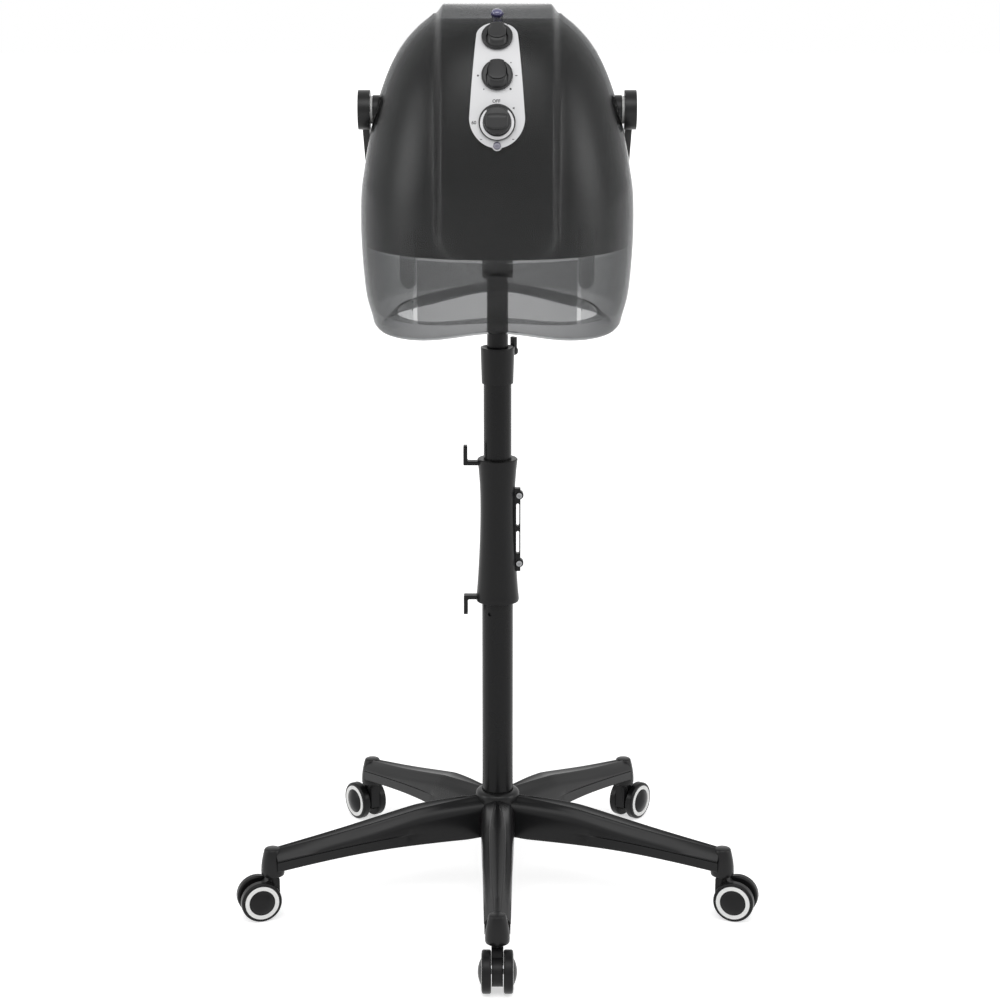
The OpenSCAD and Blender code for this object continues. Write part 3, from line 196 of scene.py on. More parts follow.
MATERIALS = {
    "base": moulded("base_plastic", BLACK, 0.3, specular=0.22),
    "tube": moulded("tube_paint", BLACK, 0.27, grain=1600, specular=0.14),
    "sleeve": moulded("sleeve_plastic", BLACK, 0.32, specular=0.16),
    "yoke": moulded("yoke_paint", BLACK, 0.3, grain=1600, specular=0.25),
    "pivot": moulded("pivot_plastic", BLACK, 0.36, specular=0.25),
    "liner": moulded("liner_plastic", BLACK, 0.42, specular=0.45),
    "knob": moulded("knob_plastic", SOFT_BLACK, 0.34, specular=0.3),
    "grille": moulded("grille_plastic", BLACK, 0.45),
    "rubber": moulded("gland_rubber", SOFT_BLACK, 0.7, specular=0.25),
    "caster": moulded("caster_plastic", BLACK, 0.34, specular=0.2),
    "wheel": moulded("wheel_plastic", BLACK, 0.32, specular=0.18),
    "ring": moulded("ring_white", (0.86, 0.86, 0.85), 0.3, vary=0.02),
    "washer": moulded("washer_nylon", (0.74, 0.74, 0.73), 0.4, vary=0.03),
    "plate": moulded("plate_silver", (0.66, 0.66, 0.67), 0.32, grain=2500, vary=0.03, specular=0.5),
    "upper_lamp": moulded("lamp_violet", (0.026, 0.022, 0.12), 0.1, vary=0.25, specular=0.8, coat=1.0),
    "lower_lamp": moulded("lamp_grey", (0.12, 0.115, 0.16), 0.14, vary=0.2, specular=0.7, coat=0.8),
    "print": moulded("dial_print", (0.05, 0.05, 0.052), 0.6, vary=0.05, specular=0.2),
    "bezel": moulded("lamp_bezel", (0.03, 0.026, 0.08), 0.3, specular=0.5),
    "switch": moulded("switch_plastic", (0.72, 0.71, 0.67), 0.45, vary=0.04),
    "mica": moulded("mica_board", (0.52, 0.45, 0.3), 0.6, grain=300, vary=0.15),
    "steel": metal("bright_steel", (0.62, 0.63, 0.64), 0.28),
    "screw": metal("screw_steel", (0.3, 0.305, 0.31), 0.4),
    "motor": metal("motor_steel", (0.5, 0.51, 0.52), 0.35, stretch=(1, 1, 12)),
    "alloy": metal("heater_alloy", (0.36, 0.33, 0.3), 0.45),
    "fan": moulded("fan_plastic", (0.05, 0.05, 0.052), 0.4),
    "smoke": clear_smoked("smoked_clear", 0.58, 500),
    "light_smoke": clear_smoked("smoked_clear_light", 0.85, 208),
}


# ---------------------------------------------------------------- mesh helpers
def add_piece(name, points, faces, material, body, smooth=40, replaces=()):
    """A mesh in the row frame, from points in metres, that rides on a CAD body."""
    mesh = bpy.data.meshes.new(name)
    mesh.from_pydata([tuple(p) for p in points], [], faces)
    mesh.validate()
    outwards = bmesh.new()
    outwards.from_mesh(mesh)
    bmesh.ops.recalc_face_normals(outwards, faces=outwards.faces)
    outwards.to_mesh(mesh)
    outwards.free()
    for polygon in mesh.polygons:
        polygon.use_smooth = True
    mesh.set_sharp_from_angle(angle=math.radians(smooth))
    mesh.materials.append(MATERIALS[material])
    piece = bpy.data.objects.new(name, mesh)
    bpy.context.scene.collection.objects.link(piece)
    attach(piece, body)
    if replaces:
        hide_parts(*replaces)
    return piece


def wall_faces(rows, cols, loop, crown=False):
    """Faces of a closed wall between two grids: outer points first, then inner points."""
    size = rows * cols
    spans = cols if loop else cols - 1
    faces = []
    for i in range(rows - 1):
        for j in range(spans):
            a, b = i * cols + j, i * cols + (j + 1) % cols
            faces.append((a, b, b + cols, a + cols))
            faces.append((b + size, a + size, a + cols + size, b + cols + size))
    for j in range(spans):
        a, b = j, (j + 1) % cols
        faces.append((b, a, a + size, b + size))
    top = size - cols
    if crown:
        half = cols // 2
        lid = [(top, top + 1, top + cols - 1)]
        lid += [(top + j, top + j + 1, top + cols - 1 - j, top + cols - j) for j in range(1, half - 1)]
        lid.append((top + half - 1, top + half, top + half + 1))
        faces += lid + [tuple(k + size for k in reversed(face)) for face in lid]
    else:
        for j in range(spans):
            a, b = top + j, top + (j + 1) % cols
            faces.append((a, b, b + size, a + size))
    if not loop:
        last = cols - 1
        for i in range(rows - 1):
            a, b = i * cols, (i + 1) * cols
            faces.append((a, b, b + size, a + size))
            faces.append((b + last, a + last, a + last + size, b + last + size))
    return faces


def round_edges(piece, width, segments, angle=35):
    """Rounds a piece's sharp edges by a width in millimetres."""
    bevel = piece.modifiers.new("round_edges", "BEVEL")
    bevel.width = width * MM
    bevel.segments = segments
    bevel.limit_method = "ANGLE"
    bevel.angle_limit = math.radians(angle)
    bevel.use_clamp_overlap = True


def lathe(profile, steps=96):
    """Points and faces of a profile of (radius, height) pairs turned about Z, closed at radius 0."""
    turns = [2 * math.pi * k / steps for k in range(steps)]
    points, faces, rings = [], [], []
    for radius, height in profile:
        if radius == 0:
            rings.append([len(points)] * steps)
            points.append((0, 0, height))
        else:
            rings.append(list(range(len(points), len(points) + steps)))
            points += [(radius * math.cos(a), radius * math.sin(a), height) for a in turns]
    for low, high in zip(rings, rings[1:]):
        for k in range(steps):
            n = (k + 1) % steps
            face = []
            for corner in (low[k], low[n], high[n], high[k]):
                if corner not in face:
                    face.append(corner)
            if len(face) > 2:
                faces.append(tuple(face))
    return points, faces


def loft(sections):
    """Points and faces of outlines of equal length stacked along Z, with both ends closed."""
    count = len(sections[0][0])
    points = [(x, y, height) for shape, height in sections for x, y in shape]
    faces = [tuple(reversed(range(count))), tuple(range(len(points) - count, len(points)))]
    for level in range(len(sections) - 1):
        base = level * count
        faces += [(base + k, base + (k + 1) % count, base + count + (k + 1) % count, base + count + k)
                  for k in range(count)]
    return points, faces


def placed(points, matrix):
    """Points in a frame's own millimetres, brought to the row frame in metres."""
    return [tuple(matrix @ (Vector(p) * MM)) for p in points]


def block(rows, foot):
    """Points and faces of a solid whose top is given as rows of (x, y, z), down to a flat foot."""
    top = [point for row in rows for point in row]
    return top + [(x, y, foot) for x, y, _ in top], wall_faces(len(rows), len(rows[0]), False)


def joined(solids):
    """Points and faces of several solids as one."""
    points, faces = [], []
    for more_points, more_faces in solids:
        faces += [tuple(k + len(points) for k in face) for face in more_faces]
        points += more_points
    return points, faces


# ---------------------------------------------------------------- CAD nodes
def per_leg(name):
    return [f"{name}_{leg}" for leg in range(1, LEGS + 1)]


NODE_MATERIALS = {
    "base": ["star_base"],
    "tube": ["lower_tube", "mid_tube", "upper_tube", "clamp_bar"],
    "sleeve": ["mast_sleeve", "cord_hooks", "clamp_collar", "collar_lever", "mid_glide", "upper_glide"],
    "yoke": ["yoke"],
    "pivot": ["pivot_caps", "pivot_bosses"],
    "steel": ["pivot_bolts", "hood_frame"] + per_leg("caster_pins"),
    "screw": ["sleeve_screws"],
    "washer": ["pivot_washers"],
    "smoke": ["bonnet_shell", "inner_skirt", "face_shield", "skirt_clips"],
    "liner": ["hood_liner", "plenum_ring", "diffuser"],
    "plate": ["control_plate"],
    "knob": ["temperature_knob", "speed_knob", "timer_knob"],
    "upper_lamp": ["indicator_lamps"],
    "switch": ["rotary_switches", "timer_unit", "thermostat"],
    "motor": ["fan_motor"],
    "fan": ["fan_wheel"],
    "mica": ["heater_frame"],
    "alloy": ["heater_wire"],
    "grille": ["intake_grille"],
    "rubber": ["cable_gland"],
    "caster": per_leg("caster_fork"),
    "wheel": per_leg("caster_wheels"),
    "ring": per_leg("caster_rings"),
}


def dress_nodes():
    for key, names in NODE_MATERIALS.items():
        for name in names:
            mesh = NODES[name].data
            mesh.materials.clear()
            mesh.materials.append(MATERIALS[key])


# Width of the rounded edges of the nodes that are shown as they are, in millimetres
NODE_EDGES = {
    "cord_hooks": 1.3, "clamp_bar": 0.9, "mast_sleeve": 0.9, "clamp_collar": 1.4, "collar_lever": 0.9,
    "pivot_caps": 0.9, "pivot_bosses": 0.6, "sleeve_screws": 0.5, "yoke": 0.7, "cable_gland": 0.4,
    "intake_grille": 0.5, **dict.fromkeys(per_leg("caster_fork"), 0.7),
}
WELD_DISTANCE = 0.00001


def soften_nodes():
    for name, width in NODE_EDGES.items():
        node = NODES[name]
        weld = node.modifiers.new("weld", "WELD")
        weld.merge_threshold = WELD_DISTANCE
        round_edges(node, width, 3)


# ---------------------------------------------------------------- hood surface
HOOD_AT = np.array([0, -0.195, 0.990])
HOOD_UP = 103.5
HOOD_DOWN = 237.5
HOOD_HALF_W = 150
HOOD_HALF_D = 155
# Height share, half-width share, half-depth share and rim arch, from the lip's inner edge to the crown
HOOD_OUTLINE = np.array([
    [-0.935, 0.74, 0.839, 12], [-0.975, 0.807, 0.906, 13.5], [-1, 0.867, 0.968, 15],
    [-0.977, 0.91, 1.003, 13.05], [-0.935, 0.93, 1.013, 9], [-0.821, 0.973, 1.006, 0],
    [-0.594, 1, 1, 0], [-0.392, 0.998, 0.994, 0], [-0.269, 0.973, 0.987, 0],
    [-0.126, 0.933, 0.958, 0], [0, 0.887, 0.91, 0], [0.29, 0.823, 0.845, 0],
    [0.531, 0.75, 0.768, 0], [0.725, 0.663, 0.674, 0], [0.87, 0.57, 0.574, 0],
    [0.952, 0.5, 0.426, 0], [0.99, 0.467, 0.232, 0], [1, 0.46, 0.013, 0],
])
PLAN_POWER = 2.2
ARCH_WIDTH = 65
BAND_HALF = 62.5
BAND_BEVEL = 10
BAND_RISE = 10
BAND_END = 157
BAND_ROUND, BAND_ROUND_SLOPE = 38, 0.8
BAND_FOOT = BAND_HALF + BAND_BEVEL / 2
SHELL_WALL = 2.5
LINER_OUT = -5.4
LINER_IN = -7.4
LINER_EDGE = -145
# Places along the outline are counted in its rows, from 0 at the lip's inner edge
CROWN_U = len(HOOD_OUTLINE) - 1
RIM_U = 2.5
SLOPE_STEP = 0.02
CROWN_CLEAR = 0.1
HALVINGS = 30
# The largest share of the half-width at which a point is placed by its x
X_SHARE = 0.985
TINY = 0.000001

KNOTS = np.column_stack([
    np.where(HOOD_OUTLINE[:, 0] < 0, HOOD_OUTLINE[:, 0] * HOOD_DOWN, HOOD_OUTLINE[:, 0] * HOOD_UP),
    HOOD_OUTLINE[:, 1] * HOOD_HALF_W, HOOD_OUTLINE[:, 2] * HOOD_HALF_D, HOOD_OUTLINE[:, 3],
])


def outline(u):
    """Height, half-width, half-depth and arch at each u along the outline, in millimetres."""
    u = np.asarray(u, float)
    i = np.clip(np.floor(u).astype(int), 0, CROWN_U - 1)
    p0, p1, p2, p3 = (KNOTS[np.clip(i + k, 0, CROWN_U)] for k in (-1, 0, 1, 2))
    t = (u - i)[..., None]
    return 0.5 * (2 * p1 + (p2 - p0) * t + (2 * p0 - 5 * p1 + 4 * p2 - p3) * t**2
                  + (3 * p1 - p0 - 3 * p2 + p3) * t**3)


def outline_slope(u):
    low, high = np.maximum(0, u - SLOPE_STEP), np.minimum(CROWN_U, u + SLOPE_STEP)
    return (outline(high) - outline(low)) / (high - low)[..., None]


def u_at(height):
    """Place on the outline at a height over the tilt axis, between the rim and the crown."""
    low, high = RIM_U, CROWN_U - CROWN_CLEAR
    for _ in range(HALVINGS):
        middle = (low + high) / 2
        if outline(middle)[0] < height:
            low = middle
        else:
            high = middle
    return middle


def smoothstep(t):
    t = np.clip(t, 0, 1)
    return t * t * (3 - 2 * t)


def relief(x, z):
    """How far the raised centre band stands out at x, for an outline height z."""
    centre = BAND_ROUND - BAND_END
    straight = BAND_HALF - np.abs(x)
    rounded = (1 - np.hypot(x / BAND_HALF, (centre - z) / BAND_ROUND)) * BAND_HALF * BAND_ROUND_SLOPE
    return BAND_RISE * smoothstep(np.where(z > centre, straight, rounded) / BAND_BEVEL + 0.5)


def column(x=None, side=-1, share=None, sign=1, start=BAND_FOOT):
    """A column at a fixed x, or at a share of the way round the side from start."""
    return (x, side, share, sign, start)


def surface(us, where, offset, band=True):
    """Points of the hood at each u, in metres in the row frame. where gives x and y from the half-axes."""
    p, d = outline(us), outline_slope(us)
    z, a, b, arch = p.T
    xs, ys = where(a, b)
    nx = np.sign(xs) * np.abs(xs) ** (PLAN_POWER - 1) / a**PLAN_POWER
    ny = np.sign(ys) * np.abs(ys) ** (PLAN_POWER - 1) / b**PLAN_POWER
    nz = -(np.abs(xs) ** PLAN_POWER * d[:, 1] / a ** (PLAN_POWER + 1)
           + np.abs(ys) ** PLAN_POWER * d[:, 2] / b ** (PLAN_POWER + 1))
    normal = np.column_stack([nx * d[:, 0], ny * d[:, 0], nz])
    point = np.column_stack([xs, ys, z + arch * np.exp(-(xs / ARCH_WIDTH) ** 2)])
    point += normal / np.linalg.norm(normal, axis=1)[:, None] * np.reshape(offset, (-1, 1))
    if band:
        lift = np.column_stack([np.zeros(len(us)), normal[:, 1], normal[:, 2] + TINY])
        point += lift / np.linalg.norm(lift, axis=1)[:, None] * relief(xs, z)[:, None]
    return point * MM + HOOD_AT


def at_x(x, side):
    """Places points at a fixed x, or at one x each, on the near or the far side."""
    def where(a, b):
        xs = np.clip(x, -X_SHARE * a, X_SHARE * a)
        return xs, side * b * np.maximum(0, 1 - (np.abs(xs) / a) ** PLAN_POWER) ** (1 / PLAN_POWER)
    return where


def at_share(side, share, sign, start):
    """Places points at a share of the way round the side of the hood from start."""
    def where(a, b):
        first = np.arcsin(np.minimum(X_SHARE, start / a) ** (PLAN_POWER / 2))
        angle = first + (math.pi / 2 - first) * share
        xs = sign * a * np.sin(angle) ** (2 / PLAN_POWER)
        return xs, side * b * np.maximum(0, np.cos(angle)) ** (2 / PLAN_POWER)
    return where


def hood_points(us, cols, offset, band):
    """Grid of points of the hood: one row per u, one column per col."""
    us = np.asarray(us, float)
    grid = np.empty((len(us), len(cols), 3))
    for j, (x, side, share, sign, start) in enumerate(cols):
        where = at_x(x, side) if share is None else at_share(side, share, sign, start)
        grid[:, j] = surface(us, where, offset, band)
    return grid


def quarter(side, sign, start, rising, steps):
    """Columns of a quarter of the way round, between its ends."""
    shares = [i / steps for i in range(1, steps)]
    if not rising:
        shares.reverse()
    return [column(side=side, share=share, sign=sign, start=start) for share in shares]


def round_columns(xs, steps):
    """Columns all round: right side, near side from right to left, left side, far side."""
    start = xs[0]
    return ([column(share=1, sign=1, start=start)] + quarter(-1, 1, start, False, steps)
            + [column(x=x) for x in xs] + quarter(-1, -1, start, True, steps)
            + [column(share=1, sign=-1, start=start)] + quarter(1, -1, start, False, steps)
            + [column(x=x, side=1) for x in reversed(xs)] + quarter(1, 1, start, True, steps))


SIDE_STEPS = 26
BAND_FLAT = 52
half_band = [*np.linspace(BAND_FOOT, BAND_FOOT - BAND_BEVEL, 9), *np.linspace(BAND_FLAT, 0, 12)]
BAND_COLUMNS = [float(x) for x in half_band] + [-float(x) for x in half_band[-2::-1]]
ROUND = round_columns(BAND_COLUMNS, SIDE_STEPS)


def hood_wall(name, us, cols, offsets, material, node, band=False, closed=True):
    """A wall of the hood between two offsets; a closed one runs all round and over the crown."""
    points = np.concatenate([hood_points(us, cols, offset, band).reshape(-1, 3) for offset in offsets])
    faces = wall_faces(len(us), len(cols), closed, closed)
    add_piece(name, points, faces, material, "hood", replaces=[node])


# The shell's rows are closest round the lower end of the centre band
BAND_END_US = (5, 7)


def make_shell():
    low, high = BAND_END_US
    us = np.concatenate([np.linspace(0, low, 36)[:-1], np.linspace(low, high, 26)[:-1],
                         np.linspace(high, CROWN_U, 71)])
    hood_wall("clear_shell", us, ROUND, (0, -SHELL_WALL), "smoke", "bonnet_shell",
              band=True)


def make_liner():
    us = np.linspace(u_at(LINER_EDGE), CROWN_U, 80)
    hood_wall("black_liner", us, ROUND, (LINER_OUT, LINER_IN), "liner", "hood_liner")


SHIELD_HALF = 88
SHIELD_SLIT = 6
SKIRT_START = SHIELD_HALF + SHIELD_SLIT
SKIRT_LOW_U = 4.2
SKIRT_GAP = 3
SKIRT_US = np.linspace(SKIRT_LOW_U, u_at(LINER_EDGE - SKIRT_GAP), 16)


def make_skirt():
    """The inner skirt: both sides and the far side, open behind the face shield."""
    steps = SIDE_STEPS
    right = [column(share=i / steps, sign=1, start=SKIRT_START) for i in range(steps, -1, -1)]
    left = [column(share=i / steps, sign=-1, start=SKIRT_START) for i in range(steps + 1)]
    xs = [float(x) for x in np.linspace(SKIRT_START, -SKIRT_START, 25)]
    far = [c for c in round_columns(xs, steps) if c[1] == 1]
    hood_wall("clear_skirt", SKIRT_US, left + far + right, (LINER_OUT, LINER_IN), "light_smoke",
              "inner_skirt", closed=False)


def make_shield():
    xs = [float(x) for x in np.linspace(SHIELD_HALF, -SHIELD_HALF, 45)]
    hood_wall("clear_face_shield", SKIRT_US, [column(x=x) for x in xs], (LINER_OUT, LINER_IN), "smoke",
              "face_shield", closed=False)


# ---------------------------------------------------------------- controls
TIMER_H, SPEED_H, TEMPERATURE_H = -5, 40, 75
UPPER_LAMP_H = TEMPERATURE_H + 21
LOWER_LAMP_H = TIMER_H - 22.3
PLATE_LOW_U = u_at(TIMER_H - 24.7)
PLATE_HIGH_U = u_at(TEMPERATURE_H + 13)
PLATE_LOW_R, PLATE_HIGH_R = 28.6, 21.5
PLATE_GAP, PLATE_T = 0.25, 1.4
PLATE_EDGE, PLATE_EDGE_ANGLE = 0.45, 55
PLATE_LEAST = 0.2
KNOB_GAP = 0.3
PLATE_FACE = PLATE_GAP + PLATE_T
KNOB_LIFT = PLATE_FACE + KNOB_GAP


def axes_at(right, out, seat):
    """A matrix with +X to the right and +Z out, placed at seat."""
    matrix = Matrix.Identity(4)
    for k, axis in enumerate((right, np.cross(out, right), out, seat)):
        for line in range(3):
            matrix[line][k] = axis[line]
    return matrix


def seat_and_out(u, x, offset):
    """A point over the hood's near side and the direction out of it there."""
    seat = surface(np.array([u]), at_x(x, -1), offset)[0]
    out = surface(np.array([u]), at_x(x, -1), offset + 1)[0] - seat
    return seat, out / np.linalg.norm(out)


def on_band(height):
    """A frame on the centre band's middle line: +Z out of it, +Y up along it."""
    seat, out = seat_and_out(u_at(height), 0, 0)
    return axes_at(np.array([1, 0, 0]), out, seat)


def plate_length():
    us = np.linspace(PLATE_LOW_U, PLATE_HIGH_U, 60)
    points = surface(us, at_x(0, -1), PLATE_FACE)
    return float(np.linalg.norm(np.diff(points, axis=0), axis=1).sum()) / MM


PLATE_LENGTH = plate_length()


def plate_half(s):
    """Half-width of the teardrop plate at a distance from its lower end."""
    high = PLATE_LENGTH - PLATE_HIGH_R
    t = np.clip((s - PLATE_LOW_R) / (high - PLATE_LOW_R), 0, 1)
    straight = PLATE_LOW_R + (PLATE_HIGH_R - PLATE_LOW_R) * t
    low_end = np.sqrt(np.maximum(PLATE_LEAST, PLATE_LOW_R**2 - (PLATE_LOW_R - s) ** 2))
    high_end = np.sqrt(np.maximum(PLATE_LEAST, PLATE_HIGH_R**2 - (s - high) ** 2))
    return np.where(s < PLATE_LOW_R, low_end, np.where(s > high, high_end, straight))


def make_plate():
    rows, cols = 90, 31
    shares = (1 - np.cos(np.linspace(0, math.pi, rows))) / 2
    us = PLATE_LOW_U + (PLATE_HIGH_U - PLATE_LOW_U) * shares
    half = plate_half(shares * PLATE_LENGTH)
    across = np.sin(np.linspace(math.pi / 2, -math.pi / 2, cols))
    layers = []
    for offset in (PLATE_FACE, PLATE_GAP):
        grid = np.stack([surface(us, at_x(c * half, -1), offset) for c in across], axis=1)
        layers.append(grid.reshape(-1, 3))
    plate = add_piece("silver_plate", np.concatenate(layers), wall_faces(rows, cols, False), "plate",
                      "hood", replaces=["control_plate"])
    round_edges(plate, PLATE_EDGE, 3, PLATE_EDGE_ANGLE)


def on_knob(points, matrix):
    return placed([(x, y, z + KNOB_LIFT) for x, y, z in points], matrix)


KNOB_R = 16.3
GRIP_HALF, TAB_HALF = 9.2, 7.5
GRIP_TOP, TAB_TOP, GRIP_FOOT = 10, 4.7, 2.3
GRIP_END = 16.8


def grip_half(y):
    """Half-width of a bar knob's grip, which narrows to the pointing tab."""
    return TAB_HALF + (GRIP_HALF - TAB_HALF) * float(smoothstep((11 - y) / 5))


def grip_rows():
    """Top of a bar knob's grip: a rounded lower end, a creased edge and a face that falls to the tab."""
    across = [math.sin(math.radians(a)) for a in range(-90, 91, 6)]
    rows = []

    def row(place, height):
        rows.append([(c * grip_half(place(c)), place(c), height - 1.2 * abs(c) ** 9) for c in across])

    def low_end(c):
        return -math.sqrt((KNOB_R - 1.1) ** 2 - (c * GRIP_HALF) ** 2)

    def crease(c):
        return -6.8 + 5 * abs(c) ** 3

    for s in np.linspace(0, 1, 12):
        row(lambda c: low_end(c) + (crease(c) - 0.8 - low_end(c)) * s, 3 + 6 * (1 - (1 - s) ** 2) ** 0.8)
    row(lambda c: crease(c) - 0.5, 8.2)
    row(lambda c: crease(c) - 0.15, 8.2)
    row(lambda c: crease(c), GRIP_TOP - 0.4)
    for t in np.linspace(0.03, 0.97, 22):
        fall = GRIP_TOP + (TAB_TOP - GRIP_TOP) * t**1.15
        row(lambda c: crease(c) + (GRIP_END - 1.4 * c**2 - crease(c)) * t, fall)
    row(lambda c: GRIP_END - 1.4 * c**2 - 0.1, TAB_TOP - 0.3)
    row(lambda c: GRIP_END - 1.4 * c**2, TAB_TOP - 0.9)
    return rows


def wing_rows(sign):
    """Top of the raised side of a bar knob, with a groove between it and the grip's lower half."""
    rows = []
    for y in np.linspace(-11.2, 13.2, 27):
        first = grip_half(y) + 0.05 + 1.4 * float(smoothstep((2.5 - y) / 4))
        last = math.sqrt((KNOB_R - 0.9) ** 2 - y**2)
        row = []
        for k in range(11):
            share = k / 10
            row.append((sign * (first + (last - first) * share), y, 4.5 - 0.9 * abs(2 * share - 1) ** 5))
        rows.append(row)
    return rows


def make_bar_knob(name, height, node, body):
    matrix = on_band(height)
    skirt = [(0, 0), (KNOB_R - 0.4, 0), (KNOB_R, 0.5), (KNOB_R - 0.05, 3.3), (KNOB_R - 0.35, 4),
             (KNOB_R - 0.9, 4.3), (KNOB_R - 1.5, 4.1), (KNOB_R - 2, 2.6), (0, 2.5)]
    points, faces = lathe(skirt)
    add_piece(f"{name}_skirt", on_knob(points, matrix), faces, "knob", body,
              replaces=[node])
    points, faces = joined([block(rows, GRIP_FOOT) for rows in (grip_rows(), wing_rows(1), wing_rows(-1))])
    add_piece(f"{name}_grip", on_knob(points, matrix), faces, "knob", body, smooth=48)


TIMER_R = 19.1
TIMER_GRIP_R = 14.7
TIMER_BAR_HALF = 10.9
TIMER_BAR_TOP, TIMER_BAR_END, TIMER_BAR_FOOT = 15, 18.2, 2.7
TIMER_TRIM_DROP = 0.9
TIMER_FLUTES = 36
TIMER_STEPS = TIMER_FLUTES * 7
# Inset, depth of the flutes and height, from the foot of the timer's grip up
TIMER_GRIP_LEVELS = [
    (0.1, 0, 2.6), (0, 0.35, 5.4), (0.2, 0.4, 9), (0.5, 0.3, 11.5), (1, 0, 12.6), (2, 0, 13),
]


def timer_bar_rows():
    """Top of the timer's bar: flutes on its lower end, a flat face and a fall to the skirt's edge."""
    across = [math.sin(math.radians(a)) for a in range(-90, 91, 4)]
    rows = []

    def low_end(c):
        return -math.sqrt((TIMER_GRIP_R - 0.2) ** 2 - (c * TIMER_BAR_HALF) ** 2)

    def crease(c):
        return -9.6 + 3.5 * abs(c) ** 3

    def row(place, height, flute=0.0):
        points = []
        for c in across:
            rib = flute * math.cos(3.5 * math.pi * c) ** 2
            points.append((c * TIMER_BAR_HALF, place(c), height - rib - 1.3 * abs(c) ** 11))
        rows.append(points)

    for s in np.linspace(0, 1, 10):
        row(lambda c: low_end(c) + (crease(c) - 0.7 - low_end(c)) * s,
            3.2 + 10 * (1 - (1 - s) ** 2) ** 0.7, 1.6 * s)
    row(lambda c: crease(c) - 0.4, 12.6, 1.6)
    row(lambda c: crease(c), TIMER_BAR_TOP - 0.5)
    for t in np.linspace(0.03, 1, 26):
        fall = TIMER_BAR_TOP - (TIMER_BAR_TOP - 4) * float(smoothstep((t - 0.42) / 0.62)) ** 1.1
        row(lambda c: crease(c) + (TIMER_BAR_END - 3.4 * c**2 - crease(c)) * t, fall)
    row(lambda c: TIMER_BAR_END - 3.4 * c**2 + 0.15, 3)
    return rows


def make_timer_knob():
    matrix = on_band(TIMER_H)
    body = "timer_dial"
    skirt = [(0, 0), (TIMER_R - 0.4, 0), (TIMER_R, 0.5), (TIMER_R, 2.3), (TIMER_R - 0.3, 2.9),
             (TIMER_R - 1.1, 3), (TIMER_R - 1.5, 2.6), (0, 2.6)]
    points, faces = lathe(skirt, 128)
    add_piece("timer_skirt", on_knob(points, matrix), faces, "knob", body,
              replaces=["timer_knob"])
    trim = [(14.4, 2.5), (14.6, 4.9), (15, 5.1), (17.2, 3.3), (17.6, 2.9), (17.6, 2.5), (14.4, 2.5)]
    points, faces = lathe(trim, 128)
    points = [(x, y - TIMER_TRIM_DROP, z) for x, y, z in points]
    add_piece("timer_trim", on_knob(points, matrix), faces, "plate", body)
    sections = []
    for inset, depth, height in TIMER_GRIP_LEVELS:
        shape = []
        for k in range(TIMER_STEPS):
            angle = 2 * math.pi * k / TIMER_STEPS
            r = TIMER_GRIP_R - inset - depth * (0.5 + 0.5 * math.cos(TIMER_FLUTES * angle)) ** 2
            shape.append((r * math.cos(angle), r * math.sin(angle)))
        sections.append((shape, height))
    points, faces = joined([loft(sections), block(timer_bar_rows(), TIMER_BAR_FOOT)])
    add_piece("timer_grip", on_knob(points, matrix), faces, "knob", body, smooth=50)


def on_plate(height, radius, degrees):
    """A frame on the control plate, at a radius and an angle round a point of its middle line."""
    lean = on_band(height)[2][1]
    u = u_at(height + radius * math.sin(math.radians(degrees)) * lean)
    seat, out = seat_and_out(u, radius * math.cos(math.radians(degrees)), PLATE_FACE)
    right = np.cross([0, 0, 1], out)
    return axes_at(right / np.linalg.norm(right), out, seat)


PRINT_T = 0.06
PRINT_BOLD = 0.1
DOT = [(0.5 * math.cos(k * math.pi / 8), 0.5 * math.sin(k * math.pi / 8)) for k in range(16)]
DASH = [(-0.5, -0.16), (0.5, -0.16), (0.5, 0.16), (-0.5, 0.16)]
ARROW = [(-0.45, 0), (0.35, -0.45), (0.35, 0.45)]
# Name, height of the dial, radius and angle round it, shape and size
MARKS = [
    ("speed_high", SPEED_H, 19.6, 180, DOT, 2.2), ("speed_step", SPEED_H, 19.6, 226, DOT, 1.4),
    ("speed_low", SPEED_H, 19.6, 315, DOT, 2.2), ("speed_dash", SPEED_H, 19.6, 0, DASH, 2.6),
    ("speed_dot", SPEED_H, 19.4, 43, DOT, 1.4), ("temperature_dot", TEMPERATURE_H, 18.4, 55, DOT, 1.3),
    ("timer_arrow", TIMER_H, 22.2, 41, ARROW, 3), ("timer_tick_left", TIMER_H, 23.6, 226, DASH, 2.2),
    ("timer_tick_right", TIMER_H, 23.6, 314, DASH, 2.2),
]
# Name, text, radius and angle round the timer, and size
TIMER_TEXTS = [("off", "OFF", 21.6, 92, 4.7), ("sixty", "60", 23.8, 181, 5)]


def make_marks():
    """Printed dots and dashes of the three dials, and the timer's OFF and 60."""
    for name, height, radius, degrees, shape, size in MARKS:
        outline_points = [(x * size, y * size) for x, y in shape]
        points, faces = loft([(outline_points, -PRINT_T), (outline_points, PRINT_T)])
        points = placed(points, on_plate(height, radius, degrees))
        add_piece(f"mark_{name}", points, faces, "print", "hood")
    for name, body, radius, degrees, size in TIMER_TEXTS:
        data = bpy.data.curves.new(f"mark_timer_{name}", "FONT")
        data.body = body
        data.size = size * MM
        data.extrude = PRINT_T * MM
        data.offset = PRINT_BOLD * MM
        data.align_x = "CENTER"
        data.align_y = "CENTER"
        data.materials.append(MATERIALS["print"])
        piece = bpy.data.objects.new(f"mark_timer_{name}", data)
        piece.matrix_world = on_plate(TIMER_H, radius, degrees)
        bpy.context.scene.collection.objects.link(piece)
        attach(piece, "hood")


